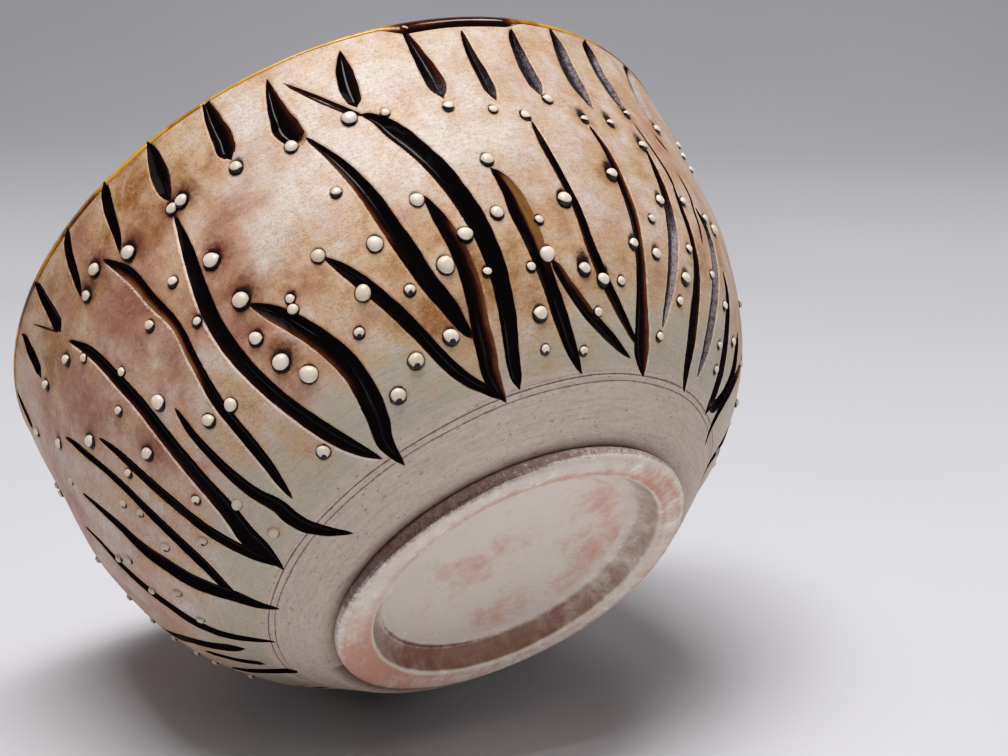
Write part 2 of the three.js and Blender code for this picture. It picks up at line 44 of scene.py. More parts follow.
# Gouge strokes as [angle round the axis in degrees, height, half width] from tip to foot end.
STROKES = {
    "La": [(-135.4, 73.6, 0.3), (-132.5, 66.5, 1.16), (-130.4, 57.2, 1.43), (-129.3, 47.8, 1.57), (-129.4, 38.5, 1.68), (-130.2, 29.8, 1.81), (-132.1, 22.3, 2.03), (-135.9, 16.5, 2.44), (-139.2, 11.5, 0.3)],
    "Lb": [(-121.6, 78.4, 0.3), (-118.9, 70.5, 1.45), (-117.6, 61.7, 1.34), (-116.2, 53, 1.13), (-117, 44.4, 1.16), (-117.9, 36.1, 1.29), (-118.65, 25.27, 1.25), (-119.41, 21.67, 1.15), (-120.5, 18.73, 0.85), (-121.71, 16.14, 0.2)],
    "Lc": [(-108, 73.6, 0.3), (-108.8, 64.7, 1.37), (-109.9, 55.8, 1.75), (-110.9, 47.1, 1.83), (-110.8, 38.5, 1.76), (-109.8, 30.4, 1.6), (-107.97, 22.72, 1.7), (-106.52, 18.8, 1.75), (-104.73, 15.64, 1.35), (-103.34, 13.94, 0.8), (-101.96, 12.57, 0.2)],
    "Ld": [(-104.9, 46.1, 0.3), (-102.3, 41.2, 1.75), (-100, 36.1, 2.06), (-98.1, 30.9, 2.24), (-96.9, 25.9, 2.33), (-96.9, 21.2, 2.38), (-97.9, 17.1, 2.24), (-99.45, 14.06, 1.7), (-99.32, 11.73, 0.9), (-98.89, 10.02, 0.2)],
    "Le": [(-91.9, 45.7, 0.3), (-89.8, 40.6, 1.29), (-87.9, 35.4, 1.5), (-86.1, 30.4, 1.51), (-84.4, 25.6, 1.42), (-80.51, 17.57, 1.35), (-78.84, 15.94, 1.25), (-76.63, 14.5, 1), (-74.92, 13.32, 0.7), (-73.58, 12.36, 0.2)],
    "Lf": [(-86.1, 72.4, 0.3), (-84.3, 65.9, 1), (-82.9, 59.2, 1.53), (-81.9, 52.4, 1.86), (-81.2, 45.6, 2.07), (-80.4, 39, 2.13), (-79.5, 32.7, 1.95), (-77.73, 26.63, 1.75), (-76.89, 23.57, 1.15), (-76.29, 22.17, 0.7), (-75.81, 21.32, 0.2)],
    "Lg": [(-77.6, 72.4, 0.3), (-76.5, 71.2, 0.85), (-74, 64.9, 2.21), (-71.7, 56.6, 2.24), (-69.9, 48.2, 2.29), (-68.7, 39.8, 2.24), (-68.3, 31.6, 2.05), (-68.6, 24.3, 1.87), (-69.54, 15.05, 1.3), (-69.27, 12.78, 0.2)],
    "Lh": [(-74.8, 48.9, 0.3), (-74, 43.3, 1.41), (-73.3, 37.8, 1.75), (-73.1, 32.4, 1.9), (-73.4, 27.3, 1.91), (-74, 22.7, 1.99), (-74.3, 18.5, 2.08), (-74.51, 15.98, 1.9), (-73.74, 13.47, 1.1), (-72.82, 11.66, 0.2)],
    "Li": [(-63.51, 51.08, 0.3), (-62.59, 48.79, 1.2), (-61.86, 45.89, 1.95), (-61.37, 40.13, 2.5), (-60.78, 34.77, 2.3), (-60.45, 30.09, 1.8), (-59.69, 25.6, 1.75), (-58.68, 21.3, 1.75), (-57.2, 17.43, 1.5), (-55.51, 14.84, 0.9), (-54.13, 13.07, 0.2)],
    "Lj": [(-58.45, 30.43, 0.5), (-57.73, 28.72, 1), (-56.42, 26.06, 1.2), (-54.63, 23.44, 1.3), (-52.52, 21.04, 1.32), (-49.77, 18.91, 1.25), (-46.47, 17.09, 1.05), (-43.69, 15.8, 0.65), (-41.29, 14.95, 0.2)],
    "Lk": [(-53.3, 61.4, 0.3), (-53.2, 54.5, 0.9), (-52.4, 47.7, 0.91), (-51.5, 41.2, 1), (-50.18, 30.53, 1.25), (-49.18, 27.39, 1.3), (-47.73, 24.64, 1.25), (-46.21, 22.41, 1.15), (-44.3, 20.13, 1), (-42.01, 18.03, 0.7), (-40.06, 16.66, 0.2)],
    "Ll": [(-42.6, 60.9, 0.3), (-41.4, 53.8, 0.9), (-40.6, 46.7, 1.18), (-40, 39.8, 1.27), (-40, 33.1, 1.25), (-40.1, 26.8, 1.4), (-39.7, 21.2, 1.81), (-38.6, 16.6, 2.21), (-36.2, 12.7, 0.3)],
    "Lm": [(-30.9, 58.2, 0.3), (-30.7, 52.8, 0.98), (-30.2, 47.5, 1.35), (-30.2, 42.3, 1.65), (-30.6, 37.2, 1.77), (-31.3, 32.3, 1.7), (-32.1, 27.7, 1.42), (-32.9, 23.5, 0.99), (-33.5, 19.6, 0.3)],
    "Ln": [(-26.6, 50.4, 0.3), (-25.8, 44.6, 0.9), (-24.7, 39.1, 0.97), (-24.1, 33.6, 1.18), (-24.1, 28.3, 1.48), (-24, 23.5, 1.73), (-23.2, 19.3, 1.65), (-21.8, 15.7, 1.17), (-19.6, 12.6, 0.3)],
    "Lp": [(-20.2, 47.9, 0.3), (-17.4, 44.4, 1.43), (-16.4, 39.8, 1.71), (-16.4, 34.9, 1.8), (-16.8, 30.4, 1.8), (-17.1, 26.1, 1.8), (-17, 22.1, 1.67), (-16.8, 18.5, 1.26), (-16.4, 15.5, 0.3)],
    "Lq": [(-12.3, 37, 0.3), (-10.8, 33.5, 1.19), (-10, 29.8, 1.44), (-9.4, 26.2, 1.63), (-8.3, 23, 1.76), (-7.1, 20.1, 1.8), (-5.8, 17.4, 1.72), (-4.8, 15, 1.48), (-4.8, 12.6, 0.3)],
    "Lr": [(-1.9, 28.8, 0.3), (-0.8, 26.8, 1.83), (0.1, 24.8, 2.11), (0.9, 22.7, 2.2), (1.1, 20.8, 2.2), (0.8, 18.9, 2.18), (0.2, 17.2, 2.02), (-2.4, 14.9, 1.6), (-4.8, 14.6, 1.1)],
    "Ls": [(-124.5, 40.9, 0.3), (-125.1, 35.3, 0.9), (-125.3, 29.9, 1.02), (-125.6, 24.9, 1.25), (-125.6, 20.5, 1.43), (-125, 16.8, 1.75), (-125.67, 14.34, 1.8), (-125.46, 12.6, 1.7), (-124.46, 11.12, 1.45), (-123.02, 9.62, 1.1), (-121.2, 8.23, 0.6), (-119.49, 7.12, 0.2)],
    "Lt": [(-140.6, 52.2, 0.3), (-139.3, 46.2, 0.9), (-138.6, 40.1, 1.13), (-138.2, 34.1, 1.23), (-138.2, 28.5, 1.24), (-138.78, 21.84, 1.35), (-138.85, 18.33, 1.4), (-139.05, 15.44, 1.1), (-139.2, 12.75, 0.25)],
    "Lu": [(-149.1, 63.1, 0.3), (-146.6, 56.5, 0.9), (-144.8, 49.5, 0.9), (-143.7, 42.4, 0.98), (-143.6, 35.4, 1.17), (-144.4, 28.8, 1.33), (-146.86, 22.32, 1.4), (-148.98, 19.49, 1.3), (-151.41, 17.31, 1), (-153.26, 15.56, 0.25)],
    "Lv": [(-154.6, 53, 0.3), (-153.3, 46.6, 0.9), (-152.4, 40.1, 1.3), (-152.6, 33.7, 1.87), (-152.7, 27.7, 2.24), (-153.3, 22.4, 2.32), (-153.18, 16.13, 1.9), (-153.81, 13.18, 1.3), (-153.31, 11.27, 0.7), (-152.51, 9.95, 0.2)],
    "Lw": [(-163.5, 52.7, 0.3), (-162.7, 46.1, 0.9), (-163.2, 39.4, 1.37), (-163.8, 33, 1.52), (-165.3, 27.3, 1.57), (-167.9, 22.4, 1.77), (-169.61, 15.66, 1.3), (-169.18, 12.8, 0.8), (-167.99, 10.44, 0.2)],
    "Lx": [(178.5, 41, 0.3), (177.6, 37, 1.9), (177.7, 33.4, 1.9), (179.4, 30.1, 1.9), (181.3, 27, 1.9), (182.4, 23.8, 1.9), (183.3, 20.8, 1.9), (184.3, 18.1, 1.9), (185.2, 15.6, 0.3)],
    "Ly": [(177.6, 24.6, 0.3), (177.6, 23.1, 1.3), (177.7, 21.7, 1.3), (177.7, 20.3, 1.3), (177.5, 19, 1.3), (177.3, 17.7, 1.3), (177.2, 16.5, 1.3), (177, 15.4, 1.3), (176.7, 14.4, 0.3)],
    "Lz": [(167.7, 23.7, 0.3), (168.7, 21.6, 1.7), (169.6, 19.6, 1.7), (170.4, 17.8, 1.7), (170.9, 16.1, 1.7), (171.5, 14.4, 1.7), (172.3, 12.8, 1.66), (173.5, 11.3, 1.54), (174.9, 9.9, 0.3)],
}
# Strokes that share one pool of glaze, in the order of the leaf_glaze nodes.
POOLS = [["Lz"], ["Ly"], ["Lx"], ["Lw"], ["Lu", "Lv"], ["La", "Lt"], ["Ls"], ["Lb"], ["Lc"], ["Ld"], ["Lf"], ["Le", "Lh"], ["Lg"], ["Li", "Lj"], ["Lk", "Ll"], ["Lm"], ["Ln"], ["Lp"], ["Lq", "Lr"]]
# Short cuts that run down from the lip.
RIM_CUTS = [
    [(-160.3, 91.3, 0.3), (-161.4, 89.7, 2), (-161.6, 87.7, 2), (-161.7, 85.4, 2), (-161.6, 83.3, 2), (-161.2, 81.1, 0.3)],
    [(-146.2, 90.5, 0.3), (-145.9, 87.9, 1.46), (-146.1, 85.4, 1.82), (-146.1, 82.8, 1.96), (-146.4, 80.3, 1.88), (-146.9, 77.9, 0.3)],
    [(-136.3, 92.7, 0.3), (-136.1, 89.3, 1.25), (-136, 85.8, 1.52), (-135.9, 82.4, 1.77), (-136, 79, 2.06), (-136.1, 77, 0.3)],
    [(-124.7, 92.4, 0.3), (-126.1, 89.7, 1.19), (-126.9, 86.7, 1.28), (-127.4, 83.4, 1.23), (-127.9, 80.2, 1), (-128.6, 77, 0.3)],
    [(-115.4, 93, 0.4), (-116.2, 89.6, 1.35), (-116.8, 86.1, 1.4), (-117.2, 82.6, 1.25), (-117.7, 79, 0.9), (-118.6, 75.8, 0.15)],
    [(-106.5, 93.2, 0.3), (-106.6, 89.8, 1.3), (-106.9, 86.5, 1.9), (-107.2, 83.2, 2.2), (-107.5, 79.9, 1.6), (-107.5, 76.5, 0.15)],
    [(-96.3, 92.6, 0.8), (-96.4, 89.3, 1.5), (-96.5, 86, 1.9), (-96.5, 82.6, 2.3), (-96.8, 79.4, 2.2), (-96.8, 76.1, 0.15)],
    [(-87, 90.1, 0.2), (-87.4, 86.8, 0.9), (-87.7, 83.4, 1.6), (-87.9, 80, 2.3), (-87.9, 76.6, 2.9), (-87.4, 73.3, 2.3)],
    [(-75.7, 89.8, 0.2), (-76.3, 86.4, 1.2), (-76.8, 83, 1.9), (-77.2, 79.6, 2.1), (-77.4, 76.1, 1.5), (-77.5, 74.2, 0.15)],
    [(-65.6, 91.6, 0.3), (-65.4, 87.4, 0.95), (-65.3, 83.2, 1.5), (-65.1, 78.9, 2), (-65, 74.7, 2.1), (-65, 70.4, 0.15)],
    [(-56.7, 88.6, 0.3), (-57.1, 84.5, 0.8), (-57.3, 80.3, 1.15), (-57.2, 76.2, 1.4), (-57.2, 72, 1.4), (-57.2, 67.8, 0.15)],
    [(-47.7, 89.2, 0.5), (-48.5, 85.2, 1.15), (-48.8, 81.2, 1.55), (-49, 77, 1.85), (-48.9, 72.9, 1.8), (-48.8, 68.8, 0.2)],
    [(-39, 91.9, 0.3), (-39.3, 87.5, 1.29), (-39.8, 83.2, 1.93), (-40.2, 78.8, 2.18), (-40.2, 74.4, 2.2), (-39.8, 71, 1.65), (-39.6, 66.6, 0.15)],
    [(-30.9, 92, 0.3), (-31.7, 88, 1.67), (-32.2, 83.9, 1.92), (-32.4, 79.7, 2), (-31.9, 75.6, 2), (-31.4, 72.3, 1.5), (-31, 69.8, 0.15)],
    [(-17.9, 92.9, 0.3), (-19.5, 89, 2.1), (-20.9, 84.9, 2.1), (-22, 80.6, 2.1), (-22.1, 76.1, 2.1), (-22.3, 71.6, 0.3)],
]
# Raised dots of slip as (angle, height, radius).
DOTS = [
    (-160.1, 77.91, 1), (-146.4, 75.15, 1.23), (-127.5, 75.76, 1.23), (-117.2, 74.31, 1.67), (-96.8, 73.93, 1.45), (-88.5, 71.71, 1.45),
    (-79.3, 72.2, 1.67), (-74.2, 70.64, 1), (-65.1, 68.04, 1.23), (-58.6, 65.39, 1), (-48.3, 67.73, 1.23), (-31, 68.41, 1),
    (-21.7, 69.48, 1.23), (-43, 62.57, 1), (-37.3, 62.97, 1), (-31.6, 58.41, 1.23), (-7.1, 76.91, 1), (-10.9, 69.83, 1),
    (-8.8, 67.5, 1), (-86, 56.72, 1.23), (-84.4, 43.36, 1.67), (-92.5, 46.48, 1.45), (-89.3, 35.86, 1.67), (-79.5, 22.89, 1.67),
    (-86.7, 21.78, 1.67), (-92.4, 18.56, 1.67), (-109.9, 17.96, 1.45), (-103.1, 28.67, 1.85), (-105.7, 33.11, 1.85), (-106.8, 39.56, 1.45),
    (-105.6, 47.51, 1.85), (-99.2, 42.02, 1), (-99.7, 39.89, 1.23), (-113, 50.09, 1), (-106.3, 58.52, 1.85), (-113.1, 60.86, 1.23),
    (-123.8, 78.25, 1.45), (-119.9, 57.2, 1.23), (-138.1, 71.5, 1.23), (-134.2, 66.94, 1), (-128.5, 55.45, 1), (-133.4, 50.78, 1),
    (-126.2, 44.24, 1.56), (-116.5, 33.25, 1.45), (-121.2, 34.12, 1.45), (-134.3, 39.96, 1.45), (-142.8, 54.07, 1.45), (-152.5, 65.4, 1.23),
    (-140.4, 41.81, 1), (-134.3, 27.31, 1), (-129.9, 21.53, 1.23), (-131.1, 15.28, 1.34), (-146.8, 40.32, 1), (-145.3, 35.83, 1),
    (-148.2, 28.69, 1.12), (-141.6, 23.11, 1.12), (-158.9, 36.67, 1), (-161.3, 39.92, 1), (-163.1, 30.83, 1), (-158.9, 25.15, 1.12),
    (-165.4, 21.29, 1), (-155.9, 58.11, 1), (-76, 48.49, 1.45), (-71.4, 38.66, 1.67), (-65.3, 41.28, 1.45), (-76, 34.41, 1.85),
    (-63.5, 52.88, 1.45), (-58.9, 38.32, 1), (-53.3, 41.95, 1.67), (-42.4, 48.02, 1.45), (-41.4, 33.02, 1.23), (-36.1, 31.81, 1.23),
    (-32.4, 44.23, 1.23), (-35.8, 39.14, 1), (-25, 46.86, 1), (-59.2, 31.63, 1.67), (-62.6, 29.86, 1), (-70.1, 30.87, 1),
    (-52.8, 28.21, 1.45), (-49.1, 26.19, 1.45), (-45.1, 26.06, 1), (-62.7, 22.16, 1.67), (-62.6, 17.08, 1), (-53.9, 16.04, 1),
    (-50.6, 21.24, 1), (-28.1, 28.74, 1.45), (-29.5, 24.51, 1), (-26.4, 35.32, 1), (-34.1, 18.26, 1), (-17.2, 46.74, 1),
    (-18.5, 32.8, 0.89), (-13.5, 45.97, 1.45), (-12.3, 29.04, 1), (-11.7, 21.89, 0.85), (2.7, 38.77, 0.89), (-4.7, 25.35, 1.07),
    (-9.9, 18.26, 0.89), (5.8, 26.46, 0.89), (-172.9, 74.99, 0.89), (-172.3, 71.97, 1), (-175.6, 54.15, 0.89), (179.8, 45.12, 0.89),
    (-106.1, 74.98, 1.45), (-107.9, 75, 1.23), (-53.9, 63, 1.12), (177.2, 38.77, 0.89), (174, 34.31, 0.89), (170.6, 30.29, 0.89),
    (167.2, 27.93, 0.89), (161, 23.55, 0.89), (-82.7, 32.63, 1.16), (-92.8, 29.94, 1.12),
]

# ---- small tools ----------------------------------------------------------------
def monotone(xs, ys):
    """A smooth curve through the points that never overshoots them."""
    xs, ys = np.asarray(xs, float), np.asarray(ys, float)
    h = np.diff(xs)
    d = np.diff(ys) / h
    m = np.zeros_like(ys)
    for i in range(1, len(xs) - 1):
        if d[i - 1] * d[i] > 0:
            w1, w2 = 2 * h[i] + h[i - 1], h[i] + 2 * h[i - 1]
            m[i] = (w1 + w2) / (w1 / d[i - 1] + w2 / d[i])
    m[0], m[-1] = d[0], d[-1]

    def at(x):
        x = np.clip(x, xs[0], xs[-1])
        k = np.clip(np.searchsorted(xs, x) - 1, 0, len(h) - 1)
        t = (x - xs[k]) / h[k]
        return (
            (1 + 2 * t) * (1 - t) ** 2 * ys[k]
            + t * (1 - t) ** 2 * h[k] * m[k]
            + t * t * (3 - 2 * t) * ys[k + 1]
            + t * t * (t - 1) * h[k] * m[k + 1]
        )

    return at


def flowing(us, ys, x):
    """A Catmull-Rom curve through the points, read at x."""
    us, ys = np.asarray(us, float), np.asarray(ys, float)
    m = np.gradient(ys, us)
    h = np.diff(us)
    k = np.clip(np.searchsorted(us, x) - 1, 0, len(h) - 1)
    t = (x - us[k]) / h[k]
    return (
        (1 + 2 * t) * (1 - t) ** 2 * ys[k]
        + t * (1 - t) ** 2 * h[k] * m[k]
        + t * t * (3 - 2 * t) * ys[k + 1]
        + t * t * (t - 1) * h[k] * m[k + 1]
    )


def step(a, b, x):
    t = np.clip((np.asarray(x, float) - a) / (b - a), 0.0, 1.0)
    return t * t * (3 - 2 * t)


def bell(x, wide):
    return np.exp(-((np.asarray(x, float) / wide) ** 2))


def unit(v):
    return v / np.maximum(np.linalg.norm(v, axis=-1, keepdims=True), 1e-12)


# ---- the turned shape of the wall -------------------------------------------------
OUTSIDE = [
    (41.0, 3.3), (42.2, 3.48), (43.4, 3.7), (44.6, 3.98), (45.7, 4.32), (46.4, 4.75), (48.0, 6.15), (51.6, 9.1), (55.3, 12.3), (64.6, 19.65), (73.6, 30.75),
    (78.9, 42.85), (82.4, 56.75), (83.45, 70.55), (84.6, 82.65), (85.0, 93.75),
]
r_out = monotone([p[1] for p in OUTSIDE], [p[0] for p in OUTSIDE])


def wobble(theta, z):
    """The slight unevenness that a hand-thrown wall keeps."""
    fade = step(8, 24, z)
    return fade * (
        0.06 * np.sin(2 * theta + 0.7 + 0.02 * z)
        + 0.045 * np.sin(3 * theta - 1.1 - 0.03 * z)
        + 0.03 * np.sin(7 * theta + 0.11 * z)
        + 0.02 * np.sin(0.62 * z + 2.0 * np.sin(theta))
    )


def wall_normal(theta, z):
    slope = (r_out(z + 0.05) - r_out(z - 0.05)) / 0.1
    size = np.sqrt(1 + slope**2)
    return np.stack([np.cos(theta) / size, np.sin(theta) / size, -slope / size], -1)


def on_wall(theta, z, off=0.0):
    """A point off millimetres outside the uncarved wall."""
    theta, z = np.asarray(theta, float), np.asarray(z, float)
    r = r_out(z)
    base = np.stack([r * np.cos(theta), r * np.sin(theta), z], -1)
    return base + wall_normal(theta, z) * np.asarray(off + wobble(theta, z))[..., None]


# ---- gouge strokes --------------------------------------------------------------
class Stroke:
    """One gouge cut, followed along its length in fine steps."""

    def __init__(self, rows, name="", fine=0.3):
        rows = np.array(rows, float)
        a, z, w = np.unwrap(np.radians(rows[:, 0])), rows[:, 1], rows[:, 2]
        u = np.r_[0, np.cumsum(np.linalg.norm(np.diff(on_wall(a, z), axis=0), axis=1))]
        n = max(16, int(u[-1] / fine))
        self.s = np.linspace(0, u[-1], n)
        self.length = u[-1]
        self.a, self.z = flowing(u, a, self.s), flowing(u, z, self.s)
        self.w = monotone(u, w)(self.s)
        for end, d in ((w[0], self.s), (w[-1], u[-1] - self.s)):
            if end < 0.6:
                self.w = self.w * (0.04 + 0.96 * np.clip(d / 1.4, 0, 1) ** 0.6)
        self.p = on_wall(self.a, self.z)
        self.t = unit(np.gradient(self.p, axis=0))
        self.n = wall_normal(self.a, self.z)
        self.b = unit(np.cross(self.n, self.t))
        self.name = name


def cut_depth(w):
    return 0.16 + 0.6 * w


def carve(theta, z, strokes):
    """How far the gouges take the wall in, the gap to the nearest cut's edge, its side, and which cut it is."""
    flat = on_wall(theta, z)
    off, gap, side = np.zeros(theta.shape), np.full(theta.shape, 9.0), np.zeros(theta.shape)
    who = np.zeros(theta.shape, int)
    for order, st in enumerate(strokes):
        mid = 0.5 * (st.a.min() + st.a.max())
        turn = np.abs((theta - mid + math.pi) % TAU - math.pi)
        reach = 0.5 * (st.a.max() - st.a.min()) + 4.5 / max(r_out(st.z.min() - 3), 40.0)
        near = np.flatnonzero((turn < reach) & (z > st.z.min() - 4.5) & (z < st.z.max() + 4.5))
        for part in np.array_split(near, max(1, len(near) // 20000)):
            x = flat[part]
            d2 = (x**2).sum(1)[:, None] - 2 * x @ st.p.T + (st.p**2).sum(1)[None]
            k = d2.argmin(1)
            d = x - st.p[k]
            t, along = (d * st.b[k]).sum(1), (d * st.t[k]).sum(1)
            past = ((k == 0) & (along < 0)) | ((k == len(st.s) - 1) & (along > 0))
            dist, w = np.hypot(t, np.where(past, along, 0.0)), np.maximum(st.w[k], 0.05)
            inside = np.clip(1 - (dist / w) ** 2, 0, 1)
            depth = np.where(
                dist < w,
                -0.1 - cut_depth(w) * inside**0.7,
                -0.1 * np.clip(1 - (dist - w) / 0.4, 0, 1) ** 2,
            ) * step(0.04, 0.3, w)
            burr = 0.06 * bell(dist - w - 0.42, 0.22) * step(0.5, 1.2, w)
            deeper = depth < off[part]
            off[part] = np.where(deeper, depth, off[part])
            off[part] = np.where((dist > w) & (off[part] > -0.02), np.maximum(off[part], burr), off[part])
            closer = dist - w < gap[part]
            gap[part] = np.where(closer, dist - w, gap[part])
            side[part] = np.where(closer, np.sign(t) * step(0.3, 1.0, w), side[part])
            who[part] = np.where(closer, order, who[part])
    return off, gap, side, who


FRONT = [[Stroke(STROKES[k], k) for k in group] for group in POOLS]
# The far side carries the same kind of strokes, turned round and a little shorter.
BACK_TURN = 172
BACK = []
for i, group in enumerate(POOLS[3:18]):
    stretch = [0.92, 0.88, 0.93, 0.9, 0.86, 0.92, 0.89][i % 7]
    slip = [0, 0.8, -0.6, 0.5][i % 4]
    BACK.append([
        Stroke([(a + BACK_TURN + slip, 14 + (z - 14) * stretch if z > 14 else z, w) for a, z, w in STROKES[k]], k)
        for k in group
    ])
POOL_STROKES = FRONT + BACK
# Two hair-thin slips of the tool beside one stroke, and one near the lip.
POOL_STROKES[12] = POOL_STROKES[12] + [
    Stroke([(-85.3, 87.2, 0.1), (-83.6, 83.6, 0.36), (-81.6, 79.7, 0.38), (-79.4, 75.4, 0.45), (-77.2, 71.6, 0.3)], "tick"),
    Stroke([(-84.9, 85.6, 0.1), (-81.9, 78.8, 0.2), (-78.2, 71.9, 0.2)], "tick"),
]
POOL_STROKES[5] = POOL_STROKES[5] + [Stroke([(-141.5, 87.0, 0.08), (-139.0, 82.3, 0.2), (-136.8, 78.1, 0.08)], "tick")]
# Hair lines that lead into the strokes at the right.
POOL_STROKES[16] = POOL_STROKES[16] + [Stroke([(-30.2, 66.9, 0.10), (-29.5, 63.3, 0.22), (-28.8, 59.9, 0.28), (-28.0, 56.4, 0.34), (-27.1, 53.4, 0.40), (-26.3, 50.0, 0.50)], "tick")]
POOL_STROKES[17] = POOL_STROKES[17] + [Stroke([(-23.2, 55.0, 0.10), (-22.1, 52.7, 0.25), (-21.2, 50.3, 0.35), (-21.1, 46.6, 0.40), (-20.6, 43.0, 0.40), (-20.8, 38.6, 0.15)], "tick"), Stroke([(-24.2, 66.1, 0.30), (-23.3, 64.6, 0.60), (-22.1, 62.3, 0.15)], "tick")]
CUTS = [list(cut) for cut in RIM_CUTS]
for i in range(20):
    source = RIM_CUTS[(i * 4 + 2) % len(RIM_CUTS)]
    turn = -8.5 + i * 10.05 - source[2][0]
    shrink = (92 - 77 - (i % 3)) / (92 - source[-1][1])
    CUTS.append([(a + turn, 92 - (92 - z) * shrink, w) for a, z, w in source])
CUT_STROKES = [Stroke(cut, "cut%02d" % i) for i, cut in enumerate(CUTS)]
ALL_STROKES = [s for group in POOL_STROKES for s in group] + CUT_STROKES

# ---- slip dots: those seen, then more of the same kind round the far side -----------
STRONG_HALO = {3, 36, 34, 30, 28, 102, 103, 78, 79, 69, 13, 14, 11, 15, 2}
MEDIUM_HALO = {29, 68, 70, 71, 85, 72, 45, 4, 31, 12, 91, 47, 46, 38, 39, 33}
FADED = {50, 51, 52, 53, 54, 55, 56, 57, 58, 59, 60, 61, 100, 101, 105, 106, 107, 108, 109, 94, 97}
DEEP_SHADE_BELOW = {1, 4, 8, 11, 13, 14, 15, 19, 23, 24, 25, 26, 33, 35, 37, 38, 41, 44, 45, 48, 49, 51, 52, 53, 54, 55, 59, 68, 69, 70, 77, 78, 79, 81, 82, 83, 85, 88, 110, 111}
PLAIN = {65, 62, 75, 22, 20, 21, 27}
BITTEN = {110, 111, 23, 24, 25, 26, 52, 53, 54, 55, 59, 49, 82, 83}
# Down in the camera's view, away from the key light: the side of each dot given painted shade.
SHADE_DOWN = np.array([-0.47311, 0.47661, -0.74095])
LONG = {42: (1.3, 0.2, 1.0), 103: (1.25, 1.0, 0.2), 102: (1.2, 1.0, 0.25), 104: (1.5, -0.5, 1.0)}
dots = [(math.radians(a), z, r) for a, z, r in DOTS]
for a, z, r in DOTS:
    turned = a + BACK_TURN + 3.0
    if (turned + 360) % 360 > 12 and (turned + 360) % 360 < 158 and len(dots) < 186:
        dots.append((math.radians(turned), 14 + (z - 14) * 0.93, max(r, 1.0)))
dots = np.array(dots)
dots[:, 2] *= 0.98


# ---- meshes --------------------------------------------------------------------
def make(name, verts, quads, quad_uv, tris=None, tri_uv=None, attrs=(), looks=(), look_of=None, stands_for=()):
    """One closed piece from arrays of places, faces and per-corner UVs."""
    me = bpy.data.meshes.new(name)
    tris = np.zeros((0, 3), np.int32) if tris is None else np.asarray(tris, np.int32)
    tri_uv = np.zeros((0, 3, 2)) if tri_uv is None else tri_uv
    quads = np.asarray(quads, np.int32)
    me.vertices.add(len(verts))
    me.vertices.foreach_set("co", np.ascontiguousarray(verts * MM, np.float32).ravel())
    corners = np.r_[quads.ravel(), tris.ravel()].astype(np.int32)
    me.loops.add(len(corners))
    me.loops.foreach_set("vertex_index", corners)
    me.polygons.add(len(quads) + len(tris))
    starts = np.r_[np.arange(len(quads)) * 4, len(quads) * 4 + np.arange(len(tris)) * 3].astype(np.int32)
    me.polygons.foreach_set("loop_start", starts)
    me.polygons.foreach_set("use_smooth", np.ones(len(starts), bool))
    if look_of is not None:
        me.polygons.foreach_set("material_index", np.asarray(look_of, np.int32))
    uv = me.uv_layers.new(name="OFBake")
    flat = np.r_[np.asarray(quad_uv, np.float32).reshape(-1, 2), np.asarray(tri_uv, np.float32).reshape(-1, 2)]
    uv.data.foreach_set("uv", np.ascontiguousarray(flat, np.float32).ravel())
    for key, values in dict(attrs).items():
        values = np.ascontiguousarray(values, np.float32)
        kind = "FLOAT_VECTOR" if values.ndim == 2 else "FLOAT"
        data = me.attributes.new(key, kind, "POINT").data
        data.foreach_set("vector" if values.ndim == 2 else "value", values.ravel())
    me.update(calc_edges=True)
    me.validate()
    ob = bpy.data.objects.new(name, me)
    bpy.context.scene.collection.objects.link(ob)
    for look in looks:
        me.materials.append(look)
    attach(ob, "root")
    if stands_for:
        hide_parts(*stands_for)
    return ob


def turned_faces(rows, columns, first=0, box=(0, 0, 1, 1), close=False):
    """Quads of a grid that wraps round the axis, with their UVs in a box of the map."""
    i, j = np.meshgrid(np.arange(rows if close else rows - 1), np.arange(columns), indexing="ij")
    k, l = (i + 1) % rows, (j + 1) % columns
    quads = np.stack([i * columns + j, i * columns + l, k * columns + l, k * columns + j], -1).reshape(-1, 4) + first
    span = rows if close else rows - 1
    u0, u1 = box[0] + (box[2] - box[0]) * j / columns, box[0] + (box[2] - box[0]) * (j + 1) / columns
    v0, v1 = box[1] + (box[3] - box[1]) * i / span, box[1] + (box[3] - box[1]) * (i + 1) / span
    uv = np.stack([np.stack([u0, v0], -1), np.stack([u1, v0], -1), np.stack([u1, v1], -1), np.stack([u0, v1], -1)], 2)
    return quads, uv.reshape(-1, 4, 2)


def strip_faces(rows, columns, first=0, box=(0, 0, 1, 1)):
    """Quads of an open grid, with their UVs in a box of the map."""
    i, j = (x.ravel() for x in np.meshgrid(np.arange(rows - 1), np.arange(columns - 1), indexing="ij"))
    quads = np.stack([i * columns + j, i * columns + j + 1, (i + 1) * columns + j + 1, (i + 1) * columns + j], -1) + first
    u = lambda x: box[0] + (box[2] - box[0]) * x / (columns - 1)
    v = lambda x: box[1] + (box[3] - box[1]) * x / (rows - 1)
    uv = np.stack([np.stack([u(j), v(i)], -1), np.stack([u(j + 1), v(i)], -1), np.stack([u(j + 1), v(i + 1)], -1), np.stack([u(j), v(i + 1)], -1)], 1)
    return quads, uv


def rounded(points, fine):
    """A profile through the points, in even fine steps, with soft turns."""
    pts = np.array(points, float)
    u = np.r_[0, np.cumsum(np.linalg.norm(np.diff(pts, axis=0), axis=1))]
    x = np.linspace(0, u[-1], max(8, int(u[-1] / fine)))
    return np.stack([monotone(u, pts[:, k])(x) for k in range(pts.shape[1])], -1)


